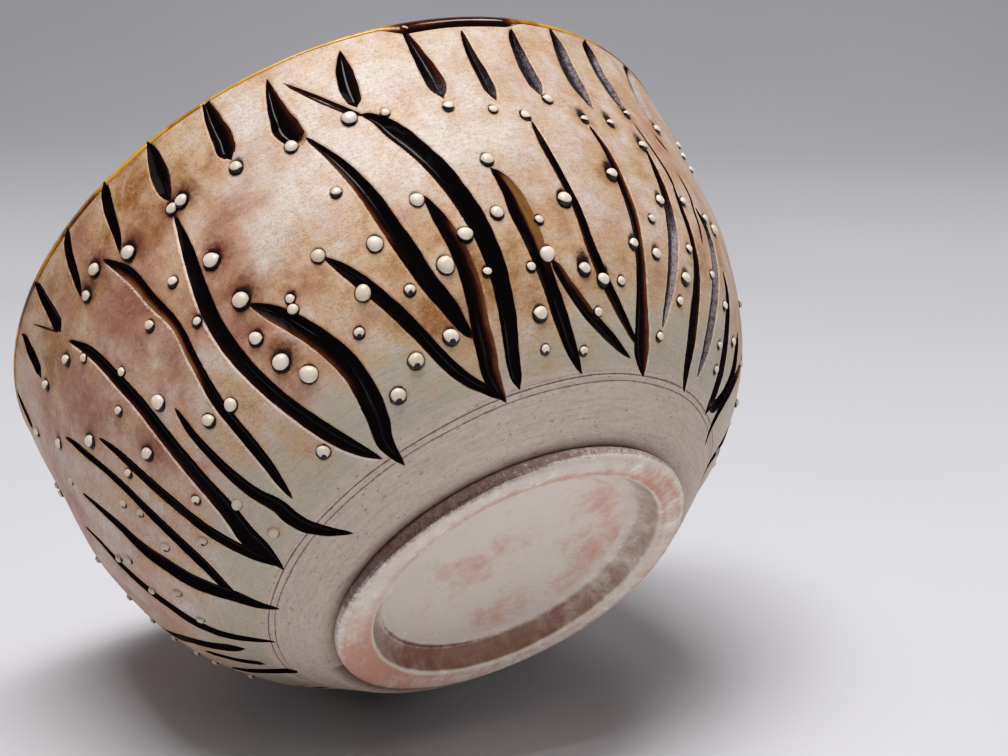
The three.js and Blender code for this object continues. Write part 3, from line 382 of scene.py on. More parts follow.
# ---- stains in the wall's glaze: (angle, height, reach round, reach up, amount) ----------
MAUVE = [
    (-100, 58, 4, 5, 0.30), (-33, 57, 4, 5, 0.20),
    (-135, 45, 4, 5, 0.30), (-126, 56, 4, 5, 0.25), (-115, 51, 4, 5, 0.20), (-73, 79, 4, 4, 0.20),
    (-123, 52, 5, 6, 0.35), (-132, 41, 4, 5, 0.40), (-130, 29, 4, 4, 0.30), (-140, 74, 5, 6, 0.25), (-73, 79, 5, 5, 0.30), (-69, 66, 5, 5, 0.28), (-82, 63, 6, 6, 0.28), (-85, 54, 6, 5, 0.25), (-48, 74, 5, 4, 0.28), (-112, 21, 4, 4, 0.30), (-11, 93, 5, 4, 0.25),
    (-124, 87, 8, 5, 0.75), (-112, 50, 7, 6, 0.85), (-95, 44, 8, 6, 0.45), (-132, 41, 6, 6, 0.95), (-112, 21, 5, 5, 0.6), (-77, 49, 6, 6, 0.45),
    (-98, 66, 8, 7, 0.5), (-92, 70, 6, 6, 0.3), (-104, 56, 8, 8, 0.6), (-124, 64, 17, 15, 0.8), (-137, 62, 15, 14, 0.7), (-133, 80, 12, 8, 0.5), (-136, 54, 14, 10, 0.5), (-138, 37, 12, 9, 0.22),
    (-101, 65, 9, 8, 0.65), (-107, 42, 9, 8, 0.6), (-106, 27, 6, 5, 0.5), (-104, 22, 5, 4, 0.35), (-46, 44, 8, 9, 0.1),
    (-44, 36, 7, 6, 0.25), (-79, 75, 6, 6, 0.35), (-148, 54, 13, 10, 0.25), (-148, 67, 14, 12, 0.55), (-110, 52, 10, 9, 0.65),
    (-38, 24, 6, 5, 0.4), (-49, 59, 6, 8, 0.12), (-118, 48, 11, 10, 0.7), (-112, 74, 10, 9, 0.7), (-90, 30, 5, 4, 0.3),
    (-62, 44, 7, 6, 0.3), (-56, 52, 6, 8, 0.15), (-165, 60, 16, 16, 0.6), (-176, 45, 14, 14, 0.5), (-25, 60, 10, 12, 0.4),
    (20, 55, 14, 12, 0.6), (48, 66, 16, 13, 0.8), (75, 48, 14, 12, 0.55), (100, 70, 15, 13, 0.6), (130, 50, 15, 13, 0.7),
    (155, 65, 15, 13, 0.6), (60, 30, 9, 7, 0.4), (112, 34, 9, 7, 0.5),
]
AMBER = [
    (-122, 87, 5, 6, 0.30), (-113, 86, 5, 6, 0.30), (-129, 71, 4, 5, 0.25), (-101, 91, 4, 4, 0.20),
    (-124, 87, 5, 6, 0.35), (-113, 84, 5, 6, 0.35), (-101, 92, 5, 5, 0.30), (-114, 94, 5, 5, 0.40), (-105, 52, 5, 5, 0.35), (-112, 50, 4, 5, 0.35), (-93, 25, 4, 4, 0.35), (-64, 16, 5, 4, 0.30),
    (-124, 89, 12, 6, 0.7), (-116, 78, 8, 8, 0.6), (-112, 88, 9, 6, 0.6), (-112, 50, 8, 7, 0.5), (-130, 45, 8, 8, 0.4), (-120, 27, 6, 6, 0.5), (-111, 22, 6, 5, 0.45), (-86, 84, 8, 6, 0.35), (-68, 84, 8, 6, 0.35), (-50, 82, 9, 7, 0.4),
    (-36, 78, 7, 8, 0.35), (-70, 70, 6, 6, 0.25), (-62, 17, 8, 5, 0.5),
    (-96, 44, 8, 6, 0.75), (-115, 33, 6, 5, 0.65), (-124, 86, 8, 5, 0.6), (-88, 42, 6, 5, 0.6), (-75, 40, 5, 5, 0.6),
    (-84, 47, 7, 7, 0.65), (-79, 42, 5, 6, 0.5), (-106, 80, 10, 9, 0.8), (-113, 74, 9, 8, 0.6), (-122, 74, 8, 7, 0.6), (-128, 80, 10, 9, 0.85), (-140, 78, 12, 9, 0.8), (-98, 80, 6, 6, 0.5),
    (-72, 34, 6, 7, 0.7), (-70, 27, 6, 6, 0.7), (-67, 28, 5, 6, 0.6), (-57, 28, 7, 7, 0.6), (-55, 40, 5, 8, 0.45), (-45, 30, 5, 6, 0.5), (-85, 30, 6, 5, 0.6),
    (-102, 76, 7, 7, 0.55), (-112, 85, 10, 7, 0.85), (-119, 82, 9, 8, 0.75), (-80, 26, 7, 6, 0.95), (-83, 37, 6, 6, 0.6),
    (-76, 22, 6, 5, 0.8), (-63, 25, 6, 6, 0.6), (-103, 43, 7, 6, 0.5), (-91, 36, 5, 5, 0.55), (-64, 33, 5, 7, 0.6),
    (-62, 20, 5, 4, 0.45), (-50, 23, 6, 5, 0.5), (-37, 25, 6, 5, 0.5), (-23, 32, 7, 9, 0.8), (-108, 64, 6, 7, 0.45),
    (-134, 86, 9, 6, 0.75), (-35, 51, 5, 6, 0.4), (-100, 28, 6, 5, 0.4), (-76, 40, 4, 6, 0.5), (-76, 18, 5, 3, 0.5),
    (-128, 88, 10, 5, 0.6), (-104, 89, 9, 4, 0.4), (-146, 88, 10, 5, 0.5), (-160, 86, 12, 6, 0.6), (-92, 47, 4, 5, 0.3),
    (-30, 78, 8, 6, 0.3), (-14, 40, 7, 12, 0.6), (0, 30, 8, 8, 0.5), (40, 40, 8, 8, 0.6), (82, 78, 10, 8, 0.6), (92, 30, 8, 6, 0.6),
    (140, 32, 9, 7, 0.6), (150, 84, 11, 7, 0.6), (25, 84, 11, 7, 0.5), (115, 86, 10, 5, 0.5), (65, 22, 7, 5, 0.5), (172, 30, 9, 8, 0.4),
]
PALE = [
    (-146, 49, 5, 6, 0.50), (-125, 68, 4, 4, 0.30), (-121, 45, 3, 4, 0.30), (-144, 20, 5, 4, 0.40),
    (-116, 43.5, 5, 4, 1.2), (-156, 46, 8, 8, 0.8), (-48, 42, 5, 6, 0.7), (-118, 40, 4, 4, 0.8),
    (-69, 60, 12, 12, 1.0), (-63, 58, 12, 12, 0.9), (-82, 63, 9, 10, 0.9), (-97, 55, 6, 8, 0.7), (-50, 60, 8, 10, 0.5), (-82, 80, 8, 7, 0.7),
    (-36, 62, 7, 9, 0.3), (-90, 61, 8, 9, 0.8), (-70, 80, 14, 9, 0.7), (-92, 82, 7, 6, 0.5), (-113, 38, 5, 6, 0.4), (-128, 40, 5, 6, 0.4),
    (85, 62, 11, 11, 0.7), (30, 70, 9, 10, 0.6), (140, 72, 9, 10, 0.5), (105, 52, 8, 8, 0.4),
]


def stain(spots, theta, z):
    total = np.zeros(theta.shape)
    for a, h, wide, tall, amount in spots:
        arc = ((theta - math.radians(a) + math.pi) % TAU - math.pi) * r_out(np.full(1, float(h)))[0]
        total = np.maximum(total, amount * np.exp(-((arc / wide) ** 2) - (((z - h) / tall) ** 2)))
    return total


# The colour wash settled round each dot: a dark line, made heavier below with painted shade,
# a tail above, and a soft smudge, to one side on the left of the bowl.
def dot_stain_and_shade(theta, z, flat):
    dark, ring, smudge = np.zeros(theta.shape), np.zeros(theta.shape), np.zeros(theta.shape)
    for k, (a, h, r) in enumerate(dots):
        arc = ((theta - a + math.pi) % TAU - math.pi) * r_out(np.full(1, h))[0]
        near = np.flatnonzero((np.abs(arc) < r + 8.0) & (np.abs(z - h) < r + 8.0))
        c, n = on_wall(np.full(1, a), np.full(1, h))[0], wall_normal(np.full(1, a), np.full(1, h))[0]
        east = np.array([-math.sin(a), math.cos(a), 0.0])
        left = float(step(-70, -115, math.degrees(a)))
        way = unit(np.cross(n, east) + east * 1.3 * left)
        down = unit(SHADE_DOWN - n * (SHADE_DOWN @ n))
        d = flat[near] - c
        dist = np.linalg.norm(d, axis=1)
        seed = (math.sin(k * 12.9898) * 43758.5453) % 1.0
        strong = k in STRONG_HALO or (k >= len(DOTS) and seed > 0.8)
        medium = k in MEDIUM_HALO or (k >= len(DOTS) and seed > 0.6)
        facing = (d @ way) / np.maximum(dist, 1e-6)
        lit = np.clip(0.5 + 0.5 * facing, 0, 1)
        # low: the side of the dot away from the light, where painted shade widens and deepens the dark line.
        low = np.clip(0.5 + 0.5 * (d @ down) / np.maximum(dist, 1e-6), 0, 1)
        grow = (1.0 if strong else 0.45 if medium else 0.1 + 0.15 * seed) * (1 + 1.5 * (1 - left))
        spread = (0.36 if strong else 0.31 if medium else 0.27) + grow * lit ** (3.0 + 6.0 * (1 - left)) + 0.26 * low**4
        amount = 0.25 if k in FADED else 1.0 if strong or medium else 0.85 + 0.15 * low
        line = np.where(dist > r, np.exp(-(((dist - r) / spread) ** 2)), 1.0) * amount
        dark[near] = np.maximum(dark[near], line)
        away = np.linalg.norm(d - way * 1.0 * r, axis=1)
        wide = r + (2.6 if strong else 1.3 if medium else 0.6)
        soft = np.exp(-((away / wide) ** 2)) * (1.0 if strong else 0.75 if medium else 0.4) * (0.45 + 0.55 * left)
        smudge[near] = np.maximum(smudge[near], soft * (0.2 if k in FADED else 1.0))
        glow = np.exp(-(np.maximum(dist - r, 0) / (3.4 if strong else 1.6)) ** 2) * (0.9 if strong else 0.5)
        ring[near] = np.maximum(ring[near], glow * (0.2 if k in FADED else 1.0))
    return dark, ring, smudge


# ---- the wall -------------------------------------------------------------------
COLUMNS = 1600
turn = np.pi / 2 + TAU * np.arange(COLUMNS) / COLUMNS
fine_z = np.arange(3.3, 92.6, 0.01)
run = np.r_[0, np.cumsum(np.hypot(np.diff(fine_z), np.diff(r_out(fine_z))))]
pace = np.where((fine_z > 10.4) & (fine_z < 15.2), 0.17, np.where(fine_z < 5.6, 0.13, 0.34))
ticks = np.r_[0, np.cumsum(np.diff(run) / pace[:-1])]
wall_z = np.interp(np.arange(0, ticks[-1], 1.0), ticks, fine_z)
wall_s = np.interp(wall_z, fine_z, run)
Z, T = np.meshgrid(wall_z, turn, indexing="ij")
z_flat, t_flat = Z.ravel(), T.ravel()
off, gap, side, who = carve(t_flat, z_flat, ALL_STROKES)
# Fine lines that the trimming tool left above the foot, cut into the clay.
lines = np.zeros(z_flat.shape)
for rise, weight, start, span in ((0.0, 1.0, 0.0, 9.0), (-0.95, 0.9, 0.4, 9.0), (0.55, 0.55, 1.9, 0.7), (-1.75, 0.4, 0.2, 0.5), (-0.45, 0.45, 2.6, 0.6), (1.15, 0.35, 1.2, 0.35)):
    place = 12.2 + 0.9 * np.cos(t_flat) + rise + 0.06 * np.sin(5 * t_flat + rise * 7) + 0.04 * np.sin(13 * t_flat + rise)
    broken = np.clip(span + np.sin(4 * t_flat + start * 3) + 0.6 * np.sin(11 * t_flat + start), 0, 1)
    lines = np.maximum(lines, weight * broken * bell(z_flat - place, 0.13))
off = off - 0.07 * lines * (gap > 0.3)
wall_xyz = on_wall(t_flat, z_flat, off)
flat_xyz = on_wall(t_flat, z_flat)
dark, ring, smudge = dot_stain_and_shade(t_flat, z_flat, flat_xyz)
bare = 1 - step(0.0, 2.4, z_flat - (12.6 + 0.9 * np.cos(t_flat) + 0.5 * np.sin(3 * t_flat)))
green = step(30, 15, z_flat + 3 * np.sin(4 * t_flat) + 2 * np.sin(9 * t_flat)) * (1 - bare)
mauve, amber, pale = stain(MAUVE, t_flat, z_flat), stain(AMBER, t_flat, z_flat), stain(PALE, t_flat, z_flat)
amber = np.maximum(amber, 0.55 * np.exp(-np.maximum(gap, 0) / 1.6) * step(15, 26, z_flat) * (1 - pale))
amber = np.maximum(amber, 0.7 * ring)
far_left = step(-1.65, -1.95, (t_flat + math.pi) % TAU - math.pi)
amber = np.maximum(amber, (0.1 + 0.5 * far_left) * step(86, 92, z_flat))
# A pale line along a gouge's lower edge, and along both edges of the strokes at the right: glaze broken thin over the
# edge, with a painted highlight where the edge catches the light.
EDGE_PALE_AMOUNT = {"La": (0.9, 0.2), "Lt": (0.5, 0.2), "Lb": (0.75, 0.2), "Lc": (1.0, 0.2), "Ld": (0.35, 0.1), "Ls": (0.45, 0.1), "Lf": (0.15, 0.1), "Lk": (0.3, 0.5),
          "Ll": (0.3, 0.6), "Lm": (0.7, 0.7), "Ln": (0.6, 0.6), "Lp": (0.8, 0.8), "Lq": (0.7, 0.7), "Lr": (0.5, 0.5), "Lh": (0.1, 0.3), "Li": (0.1, 0.2)}
pale_left = np.array([EDGE_PALE_AMOUNT.get(st.name, (0.3, 0.25))[0] for st in ALL_STROKES])[who]
pale_right = np.array([EDGE_PALE_AMOUNT.get(st.name, (0.3, 0.25))[1] for st in ALL_STROKES])[who]
edge = np.where(side < 0, pale_left, pale_right) * bell(gap - 0.28, 0.42) * (gap > -0.3)
right_side = bell(np.abs((t_flat + 0.6 + math.pi) % TAU - math.pi), 0.8)
turn_to = np.degrees((t_flat + math.pi) % TAU - math.pi)
# soil on the wall: soil in the groove above the foot, with painted shade in its crease, weaker to the right and far
# left; and a soft painted shade fading up the wall above the groove, stronger on the right.
soil_shade_amount = (1 - 0.75 * step(-50, -12, turn_to) * (turn_to < 60)) * (1 - 0.45 * step(-128, -160, turn_to))
soil = soil_shade_amount * (1 - step(3.0, 4.6, z_flat)) + (0.05 + 0.2 * right_side) * np.exp(-np.maximum(z_flat - 5.0, 0) / 1.2)
# Below: hidden seat of the foot, then the base inside the foot ring. Above: the lip and the inside.
under = np.array([(0.5, 5.38), (3, 5.37), (6, 5.4), (9, 5.36), (12, 5.4), (15, 5.37), (18, 5.4), (20, 5.37), (22, 5.41), (24, 5.38), (26, 5.42), (28, 5.39), (30, 5.42), (32, 5.48), (34, 5.7), (36.5, 5.2), (39, 4.3), (40.6, 3.5)])
over = np.array([(84.0, 92.9), (82.6, 92.9), (81.2, 91.2), (80.7, 88.8), (79.6, 80), (78.2, 70), (75.2, 53), (69.5, 38), (59, 24.5), (44, 16.6), (26, 13.7), (8, 13.25), (0.5, 13.2)])
under = np.stack([np.interp(np.linspace(0, 1, 70) ** 0.8, np.linspace(0, 1, len(under)), under[:, k]) for k in (0, 1)], -1)


def lathe(profile, theta):
    r, z = profile[:, 0][:, None], profile[:, 1][:, None]
    return np.stack([r * np.cos(theta)[None], r * np.sin(theta)[None], np.broadcast_to(z, (len(profile), len(theta)))], -1).reshape(-1, 3)


below, above = lathe(under, turn), lathe(over, turn)
verts = np.r_[below, wall_xyz, above, [[0, 0, 5.38], [0, 0, 13.2]]]
rows = len(under) + len(wall_z) + len(over)
quads, uv = turned_faces(rows, COLUMNS, box=(0.0, 0.005, 1.0, 0.995))
col = np.arange(COLUMNS)
nxt = (col + 1) % COLUMNS
low, high = len(verts) - 2, len(verts) - 1
last = (rows - 1) * COLUMNS
tris = np.r_[np.stack([np.full(COLUMNS, low), nxt, col], -1), np.stack([np.full(COLUMNS, high), last + col, last + nxt], -1)]
mid = (col + 0.5) / COLUMNS
tri_uv = np.r_[
    np.stack([np.stack([mid, mid * 0], -1), np.stack([(col + 1) / COLUMNS, mid * 0 + 0.005], -1), np.stack([col / COLUMNS, mid * 0 + 0.005], -1)], 1),
    np.stack([np.stack([mid, mid * 0 + 1], -1), np.stack([col / COLUMNS, mid * 0 + 0.995], -1), np.stack([(col + 1) / COLUMNS, mid * 0 + 0.995], -1)], 1),
]
nb, na = len(below), len(above)


def padded_out(values, low_value, high_value):
    return np.r_[np.full(nb, float(low_value)), values, np.full(na, float(high_value)), low_value, high_value]


# Pink blotches of wash left on the base: (x, y, reach, amount).
BLOTCHES = [(-7, -6, 9, 0.75), (1, -8, 7, 0.5), (-9, 18, 8, 0.7), (-2, 22, 6, 0.5), (21, 13, 9, 0.85), (14, 20, 8, 0.7), (26, -6, 8, 0.6), (25, 4, 7, 0.5), (-24, 8, 6, 0.15)]
pink_base = np.zeros(nb)
for x, y, reach, amount in BLOTCHES:
    pink_base = np.maximum(pink_base, 0.82 * amount * np.exp(-((below[:, 0] - x) ** 2 + (below[:, 1] - y) ** 2) / reach**2))
radius = np.hypot(below[:, 0], below[:, 1])
pink_base = np.maximum(pink_base, 0.4 * bell(radius - 31.0, 1.4))
s_under = np.hypot(below[:, 0], below[:, 1]) + 200
ring_vec = np.r_[
    np.stack([below[:, 0] * 0.1, below[:, 1] * 0.1, s_under], -1),
    np.stack([wall_xyz[:, 0] * 0.1, wall_xyz[:, 1] * 0.1, np.repeat(wall_s, COLUMNS)], -1),
    np.stack([above[:, 0] * 0.1, above[:, 1] * 0.1, above[:, 2] + 300], -1),
    [[0, 0, 200], [0, 0, 300]],
] * MM
wall_attrs = {
    "mauve": padded_out(mauve, 0, 0), "amber": padded_out(amber, 0, 0), "pale": padded_out(pale, 0, 0),
    "green": padded_out(green, 0, 0), "bare": padded_out(bare, 1, 0), "halo": padded_out(dark, 0, 0),
    "edge": padded_out(edge, 0, 0), "line": padded_out(lines, 0, 0), "soil": padded_out(soil, 0, 0), "smudge": padded_out(smudge, 0, 0),
    "pink": np.r_[pink_base, np.zeros(len(wall_xyz) + na), 0, 0],
    "ring": ring_vec, "calm": np.r_[np.ones(nb), np.zeros(len(wall_xyz) + na), 1, 0],
}

# ---- glaze lying in the gouges -----------------------------------------------------
# How each stroke's glaze lies: lean of the deepest line, then the side on which the glaze is
# thin, how thin, how far in from that edge, where along the stroke, and how grainy it dried;
# then, for some, how much it frosted with a painted sheen, from where on, and how suddenly the thin side starts.
STYLE = {
    "La": (0.15, -1, 0.5, 0.9, 0.05, 0.8, 0.3), "Lb": (0.25, -1, 0.85, 1.4, 0.06, 0.6, 0.15), "Lc": (0.1, -1, 0.35, 0.8, 0.3, 1.0, 0.3),
    "Ld": (0.0, -1, 0.55, 0.9, 0.04, 0.65, 0.1), "Le": (0.1, -1, 0.25, 0.5, 0.0, 1.0, 0.05), "Lf": (-0.1, -1, 0.6, 1.0, 0.03, 0.6, 0.15),
    "Lg": (-0.35, -1, 0.42, 0.6, 0.0, 0.5, 0.1), "Lh": (-0.1, 1, 0.75, 1.2, 0.14, 1.0, 0.15), "Li": (0.1, 1, 0.92, 0.95, 0.04, 0.5, 0.15, 0.0, 0.3, 0.4),
    "Lj": (-0.1, 1, 0.7, 1.3, 0.0, 0.6, 0.1), "Lk": (0.0, -1, 0.62, 1.3, 0.0, 1.0, 0.2), "Ll": (-0.1, 1, 0.72, 1.0, 0.0, 1.0, 0.3),
    "Lm": (0.0, 1, 0.5, 0.8, 0.0, 1.0, 0.8, 0.55, 0.35), "Ln": (-0.2, 1, 0.5, 0.8, 0.0, 0.8, 0.4), "Lp": (0.0, 1, 0.4, 0.6, 0.0, 1.0, 0.9, 0.5, 0.1),
    "Lq": (0.0, 1, 0.4, 0.5, 0.0, 1.0, 0.5), "Lr": (0.0, 1, 0.3, 0.5, 0.0, 1.0, 0.3), "tick": (0.0, 1, 0.2, 0.5, 0.0, 1.0, 0.0),
    "Ls": (0.1, -1, 0.35, 0.7, 0.1, 0.9, 0.1), "Lt": (0.1, -1, 0.4, 0.8, 0.0, 0.9, 0.15), "Lu": (0.1, 1, 0.4, 0.8, 0.0, 0.7, 0.1),
    "Lv": (0.2, 1, 0.85, 1.8, 0.0, 0.5, 0.1), "Lw": (-0.1, 1, 0.85, 1.8, 0.0, 0.6, 0.1),
    "Lx": (-0.2, 1, 0.6, 1.2, 0.0, 0.8, 0.1), "Ly": (-0.2, 1, 0.9, 1.8, 0.0, 1.0, 0.1), "Lz": (-0.2, 1, 0.6, 1.2, 0.0, 0.8, 0.1),
}
# The short cuts, from the left of the side the camera faces to the right: lean, grain, frost with its painted sheen,
# and where it starts.
CUT_STYLE = [
    (0.0, 0.2, 0.0, 0.5), (0.0, 0.15, 0.0, 0.5), (0.1, 0.05, 0.0, 0.5), (0.2, 0.05, 0.0, 0.5), (0.0, 0.05, 0.0, 0.5), (-0.05, 0.05, 0.0, 0.5),
    (-0.35, 0.05, 0.0, 0.5), (-0.42, 0.05, 0.0, 0.5), (-0.05, 0.05, 0.0, 0.5), (0.1, 0.6, 0.3, 0.75), (0.1, 0.55, 0.32, 0.7), (0.25, 0.9, 0.42, 0.3),
    (0.3, 0.95, 0.48, 0.15), (0.3, 0.95, 0.48, 0.15), (0.25, 0.95, 0.68, 0.0),
]


def dish(st, lean, t, k):
    """Height of a pool's surface at t across its gouge, at the k-th step along it."""
    w = st.w[k]
    U = np.clip(t / np.maximum(w, 1e-6), -1, 1)
    v = np.where(U < lean, (lean - U) / (1 + lean), (U - lean) / (1 - lean))
    return -0.05 + 0.11 * (1 - step(0.15, 0.6, w)) - 0.74 * (cut_depth(w) - 0.1) * step(0.04, 0.5, w) * (1 - np.abs(v) ** 1.3)


def pool(st, style, others=(), under=0.0, across=21, thick=0.35):
    """A closed skin of glaze that lines one gouge: places, faces, UVs and what it looks like."""
    lean, side, amount, deep, start, stop, grain, frost, frost_and_sheen_from, sudden = (tuple(style) + (0.0, 0.3, 0.0)[len(style) - 7:])[:10]
    u = np.sin(np.linspace(-1, 1, across) * math.pi / 2)
    n = len(st.s)
    w = st.w[:, None]
    U = np.broadcast_to(u[None], (n, across))
    steps = np.broadcast_to(np.arange(n)[:, None], U.shape)
    ripple = 0.012 * np.sin(st.s[:, None] * 0.9 + 3 * u[None]) * (1 - U**2)
    top = dish(st, lean, U * w, steps) + ripple - under
    # Hand-cut edges wander a little.
    wander = 1 + 0.035 * np.sin(st.s * 0.55 + len(st.name)) + 0.025 * np.sin(st.s * 1.4 + 2 * st.s[-1])
    spot = st.p[:, None] + st.b[:, None] * (U * w * wander[:, None])[..., None]
    # Where two gouges meet, the deeper one wins.
    shared = np.zeros(U.shape)
    for other, its_lean in others:
        x = spot.reshape(-1, 3)
        k = ((x**2).sum(1)[:, None] - 2 * x @ other.p.T + (other.p**2).sum(1)[None]).argmin(1)
        d = x - other.p[k]
        t, off_end = (d * other.b[k]).sum(1), np.abs((d * other.t[k]).sum(1))
        within = ((np.abs(t) < other.w[k]) & (off_end < 0.4)).reshape(U.shape)
        top = np.where(within, np.minimum(top, dish(other, its_lean, t, k).reshape(U.shape) - under), top)
        shared = np.maximum(shared, np.where(within, 1 - step(0.7, 1.0, (np.abs(t) / np.maximum(other.w[k], 1e-6)).reshape(U.shape)), 0.0))
    theta, z = np.arctan2(spot[..., 1], spot[..., 0]), np.clip(spot[..., 2], 6.0, 93.3)
    a, b = on_wall(theta, z, top), on_wall(theta, z, top - thick)
    verts = np.r_[a.reshape(-1, 3), b.reshape(-1, 3)]
    m = n * across
    q1, t1 = strip_faces(n, across, 0, (0, 0, 0.48, 1))
    q2, t2 = strip_faces(n, across, m, (0.52, 0, 1, 1))
    i = np.arange(n - 1)
    j = np.arange(across - 1)
    left = np.stack([i * across, (i + 1) * across, m + (i + 1) * across, m + i * across], -1)
    right = np.stack([i * across, (i + 1) * across, m + (i + 1) * across, m + i * across], -1) + across - 1
    first = np.stack([j, j + 1, m + j + 1, m + j], -1)
    final = first + (n - 1) * across
    seam = lambda k, lo, hi: np.stack([np.stack([np.full(k, lo), np.arange(k) / k], -1), np.stack([np.full(k, lo), (np.arange(k) + 1) / k], -1),
                                       np.stack([np.full(k, hi), (np.arange(k) + 1) / k], -1), np.stack([np.full(k, hi), np.arange(k) / k], -1)], 1)
    quads = np.r_[q1[:, ::-1], q2, left[:, ::-1], right, first, final[:, ::-1]]
    uv = np.r_[t1[:, ::-1], t2, seam(n - 1, 0.485, 0.49)[:, ::-1], seam(n - 1, 0.495, 0.5), seam(across - 1, 0.503, 0.507), seam(across - 1, 0.51, 0.515)[:, ::-1]]
    along = st.s[:, None] / st.length
    window = step(start - 0.06, start + 0.06, along) * (1 - step(stop - 0.1, stop + 0.08, along)) if stop < 1 else step(start - 0.06, start + 0.06, along)
    thin = amount * step(1 - deep, 1 - deep + (sudden if sudden else deep), side * U) * window
    thin = np.maximum(thin, 0.5 * step(0.86, 1.0, np.abs(U))) * (1 - shared)
    thin = np.maximum(thin, 0.45 * (1 - step(0.1, 0.7, w)) * np.ones_like(U))
    lay = np.stack([np.broadcast_to(st.s[:, None], U.shape), U * w, np.full(U.shape, 37.0 * (len(st.name) + st.s[-1]))], -1).reshape(-1, 3) * MM
    dry_from = max(0.1, frost_and_sheen_from - 0.3) if frost > 0 else 0.1
    dried = np.broadcast_to(grain * (0.12 + 0.88 * step(dry_from, dry_from + 0.4, along)), U.shape)
    # Frost with a painted sheen, stronger on the facet past the deepest line.
    frost_and_sheen_at = frost * step(frost_and_sheen_from - 0.15, frost_and_sheen_from + 0.2, along) * (0.35 + 0.65 * step(lean - 0.05, lean + 0.3, U))
    gleam = (bell(U - lean, 0.16) * step(0.5, 1.2, w) * (1 - shared)).ravel()
    attrs = {"thin": np.r_[thin.ravel(), thin.ravel()], "gleam": np.r_[gleam, gleam], "grain": np.r_[dried.ravel(), dried.ravel()], "frost": np.r_[frost_and_sheen_at.ravel(), frost_and_sheen_at.ravel()], "lay": np.r_[lay, lay]}
    return verts, quads, uv, attrs


def gather(parts):
    """Joins several closed skins into one piece, each in its own tile of the map."""
    side = math.ceil(math.sqrt(len(parts)))
    verts, quads, uvs, attrs, first = [], [], [], {}, 0
    for k, (v, q, t, a) in enumerate(parts):
        verts.append(v)
        quads.append(q + first)
        uvs.append((np.asarray(t) * 0.98 + 0.01 + np.array([k % side, k // side])) / side)
        for key, values in a.items():
            attrs.setdefault(key, []).append(values)
        first += len(v)
    return np.concatenate(verts), np.concatenate(quads), np.concatenate(uvs), {k: np.concatenate(v) for k, v in attrs.items()}


# ---- looks ------------------------------------------------------------------------
def srgb(r, g, b):
    lin = [c / 255 / 12.92 if c / 255 <= 0.04045 else ((c / 255 + 0.055) / 1.055) ** 2.4 for c in (r, g, b)]
    return (*lin, 1.0)


class Look:
    """A material built up from nodes."""

    def __init__(self, name, **fixed):
        self.mat = bpy.data.materials.new(name)
        self.mat.use_nodes = True
        self.nodes, self.links = self.mat.node_tree.nodes, self.mat.node_tree.links
        self.nodes.clear()
        out = self.nodes.new("ShaderNodeOutputMaterial")
        self.bsdf = self.nodes.new("ShaderNodeBsdfPrincipled")
        self.links.new(self.bsdf.outputs[0], out.inputs[0])
        for key, value in fixed.items():
            self.bsdf.inputs[key.replace("_", " ")].default_value = value

    def put(self, socket, value):
        if isinstance(value, bpy.types.NodeSocket):
            self.links.new(value, socket)
        else:
            socket.default_value = value

    def set(self, name, value):
        self.put(self.bsdf.inputs[name], value)

    def attr(self, name, vector=False):
        node = self.nodes.new("ShaderNodeAttribute")
        node.attribute_name = name
        return node.outputs["Vector" if vector else "Fac"]

    def place(self):
        return self.nodes.new("ShaderNodeTexCoord").outputs["Object"]

    def stretch(self, vec, xyz):
        node = self.nodes.new("ShaderNodeVectorMath")
        node.operation = "MULTIPLY"
        self.put(node.inputs[0], vec)
        node.inputs[1].default_value = xyz
        return node.outputs[0]

    def noise(self, vec, scale, detail=3.0, rough=0.55, warp=0.0):
        node = self.nodes.new("ShaderNodeTexNoise")
        self.put(node.inputs["Vector"], vec)
        node.inputs["Scale"].default_value = scale
        node.inputs["Detail"].default_value = detail
        node.inputs["Roughness"].default_value = rough
        node.inputs["Distortion"].default_value = warp
        return node.outputs["Fac"]

    def cells(self, vec, scale):
        node = self.nodes.new("ShaderNodeTexVoronoi")
        self.put(node.inputs["Vector"], vec)
        node.inputs["Scale"].default_value = scale
        return node.outputs["Distance"]

    def math(self, op, a, b=0.0, clamp=False):
        node = self.nodes.new("ShaderNodeMath")
        node.operation = op
        node.use_clamp = clamp
        self.put(node.inputs[0], a)
        self.put(node.inputs[1], b)
        return node.outputs[0]

    def plus(self, *terms):
        """Weighted sum of (socket, weight, middle) terms."""
        total = None
        for socket, weight, middle in terms:
            part = self.math("MULTIPLY_ADD", socket, weight)
            part.node.inputs[2].default_value = -weight * middle
            total = part if total is None else self.math("ADD", total, part)
        return total

    def span(self, value, a, b, lo=0.0, hi=1.0):
        node = self.nodes.new("ShaderNodeMapRange")
        node.interpolation_type = "SMOOTHSTEP"
        self.put(node.inputs["Value"], value)
        for key, v in (("From Min", a), ("From Max", b), ("To Min", lo), ("To Max", hi)):
            node.inputs[key].default_value = v
        return node.outputs[0]

    def mix(self, fac, a, b, how="MIX"):
        node = self.nodes.new("ShaderNodeMix")
        node.data_type = "RGBA"
        node.blend_type = how
        self.put(node.inputs[0], fac)
        self.put(node.inputs[6], a)
        self.put(node.inputs[7], b)
        return node.outputs[2]

    def ramp(self, fac, stops):
        node = self.nodes.new("ShaderNodeValToRGB")
        self.put(node.inputs[0], fac)
        band = node.color_ramp.elements
        while len(band) < len(stops):
            band.new(0.5)
        for e, (at, colour) in zip(band, stops):
            e.position, e.color = at, colour
        return node.outputs[0]

    def bump(self, height, strength, distance, normal=None):
        node = self.nodes.new("ShaderNodeBump")
        node.inputs["Strength"].default_value = strength
        node.inputs["Distance"].default_value = distance
        self.put(node.inputs["Height"], height)
        if normal is not None:
            self.put(node.inputs["Normal"], normal)
        return node.outputs[0]


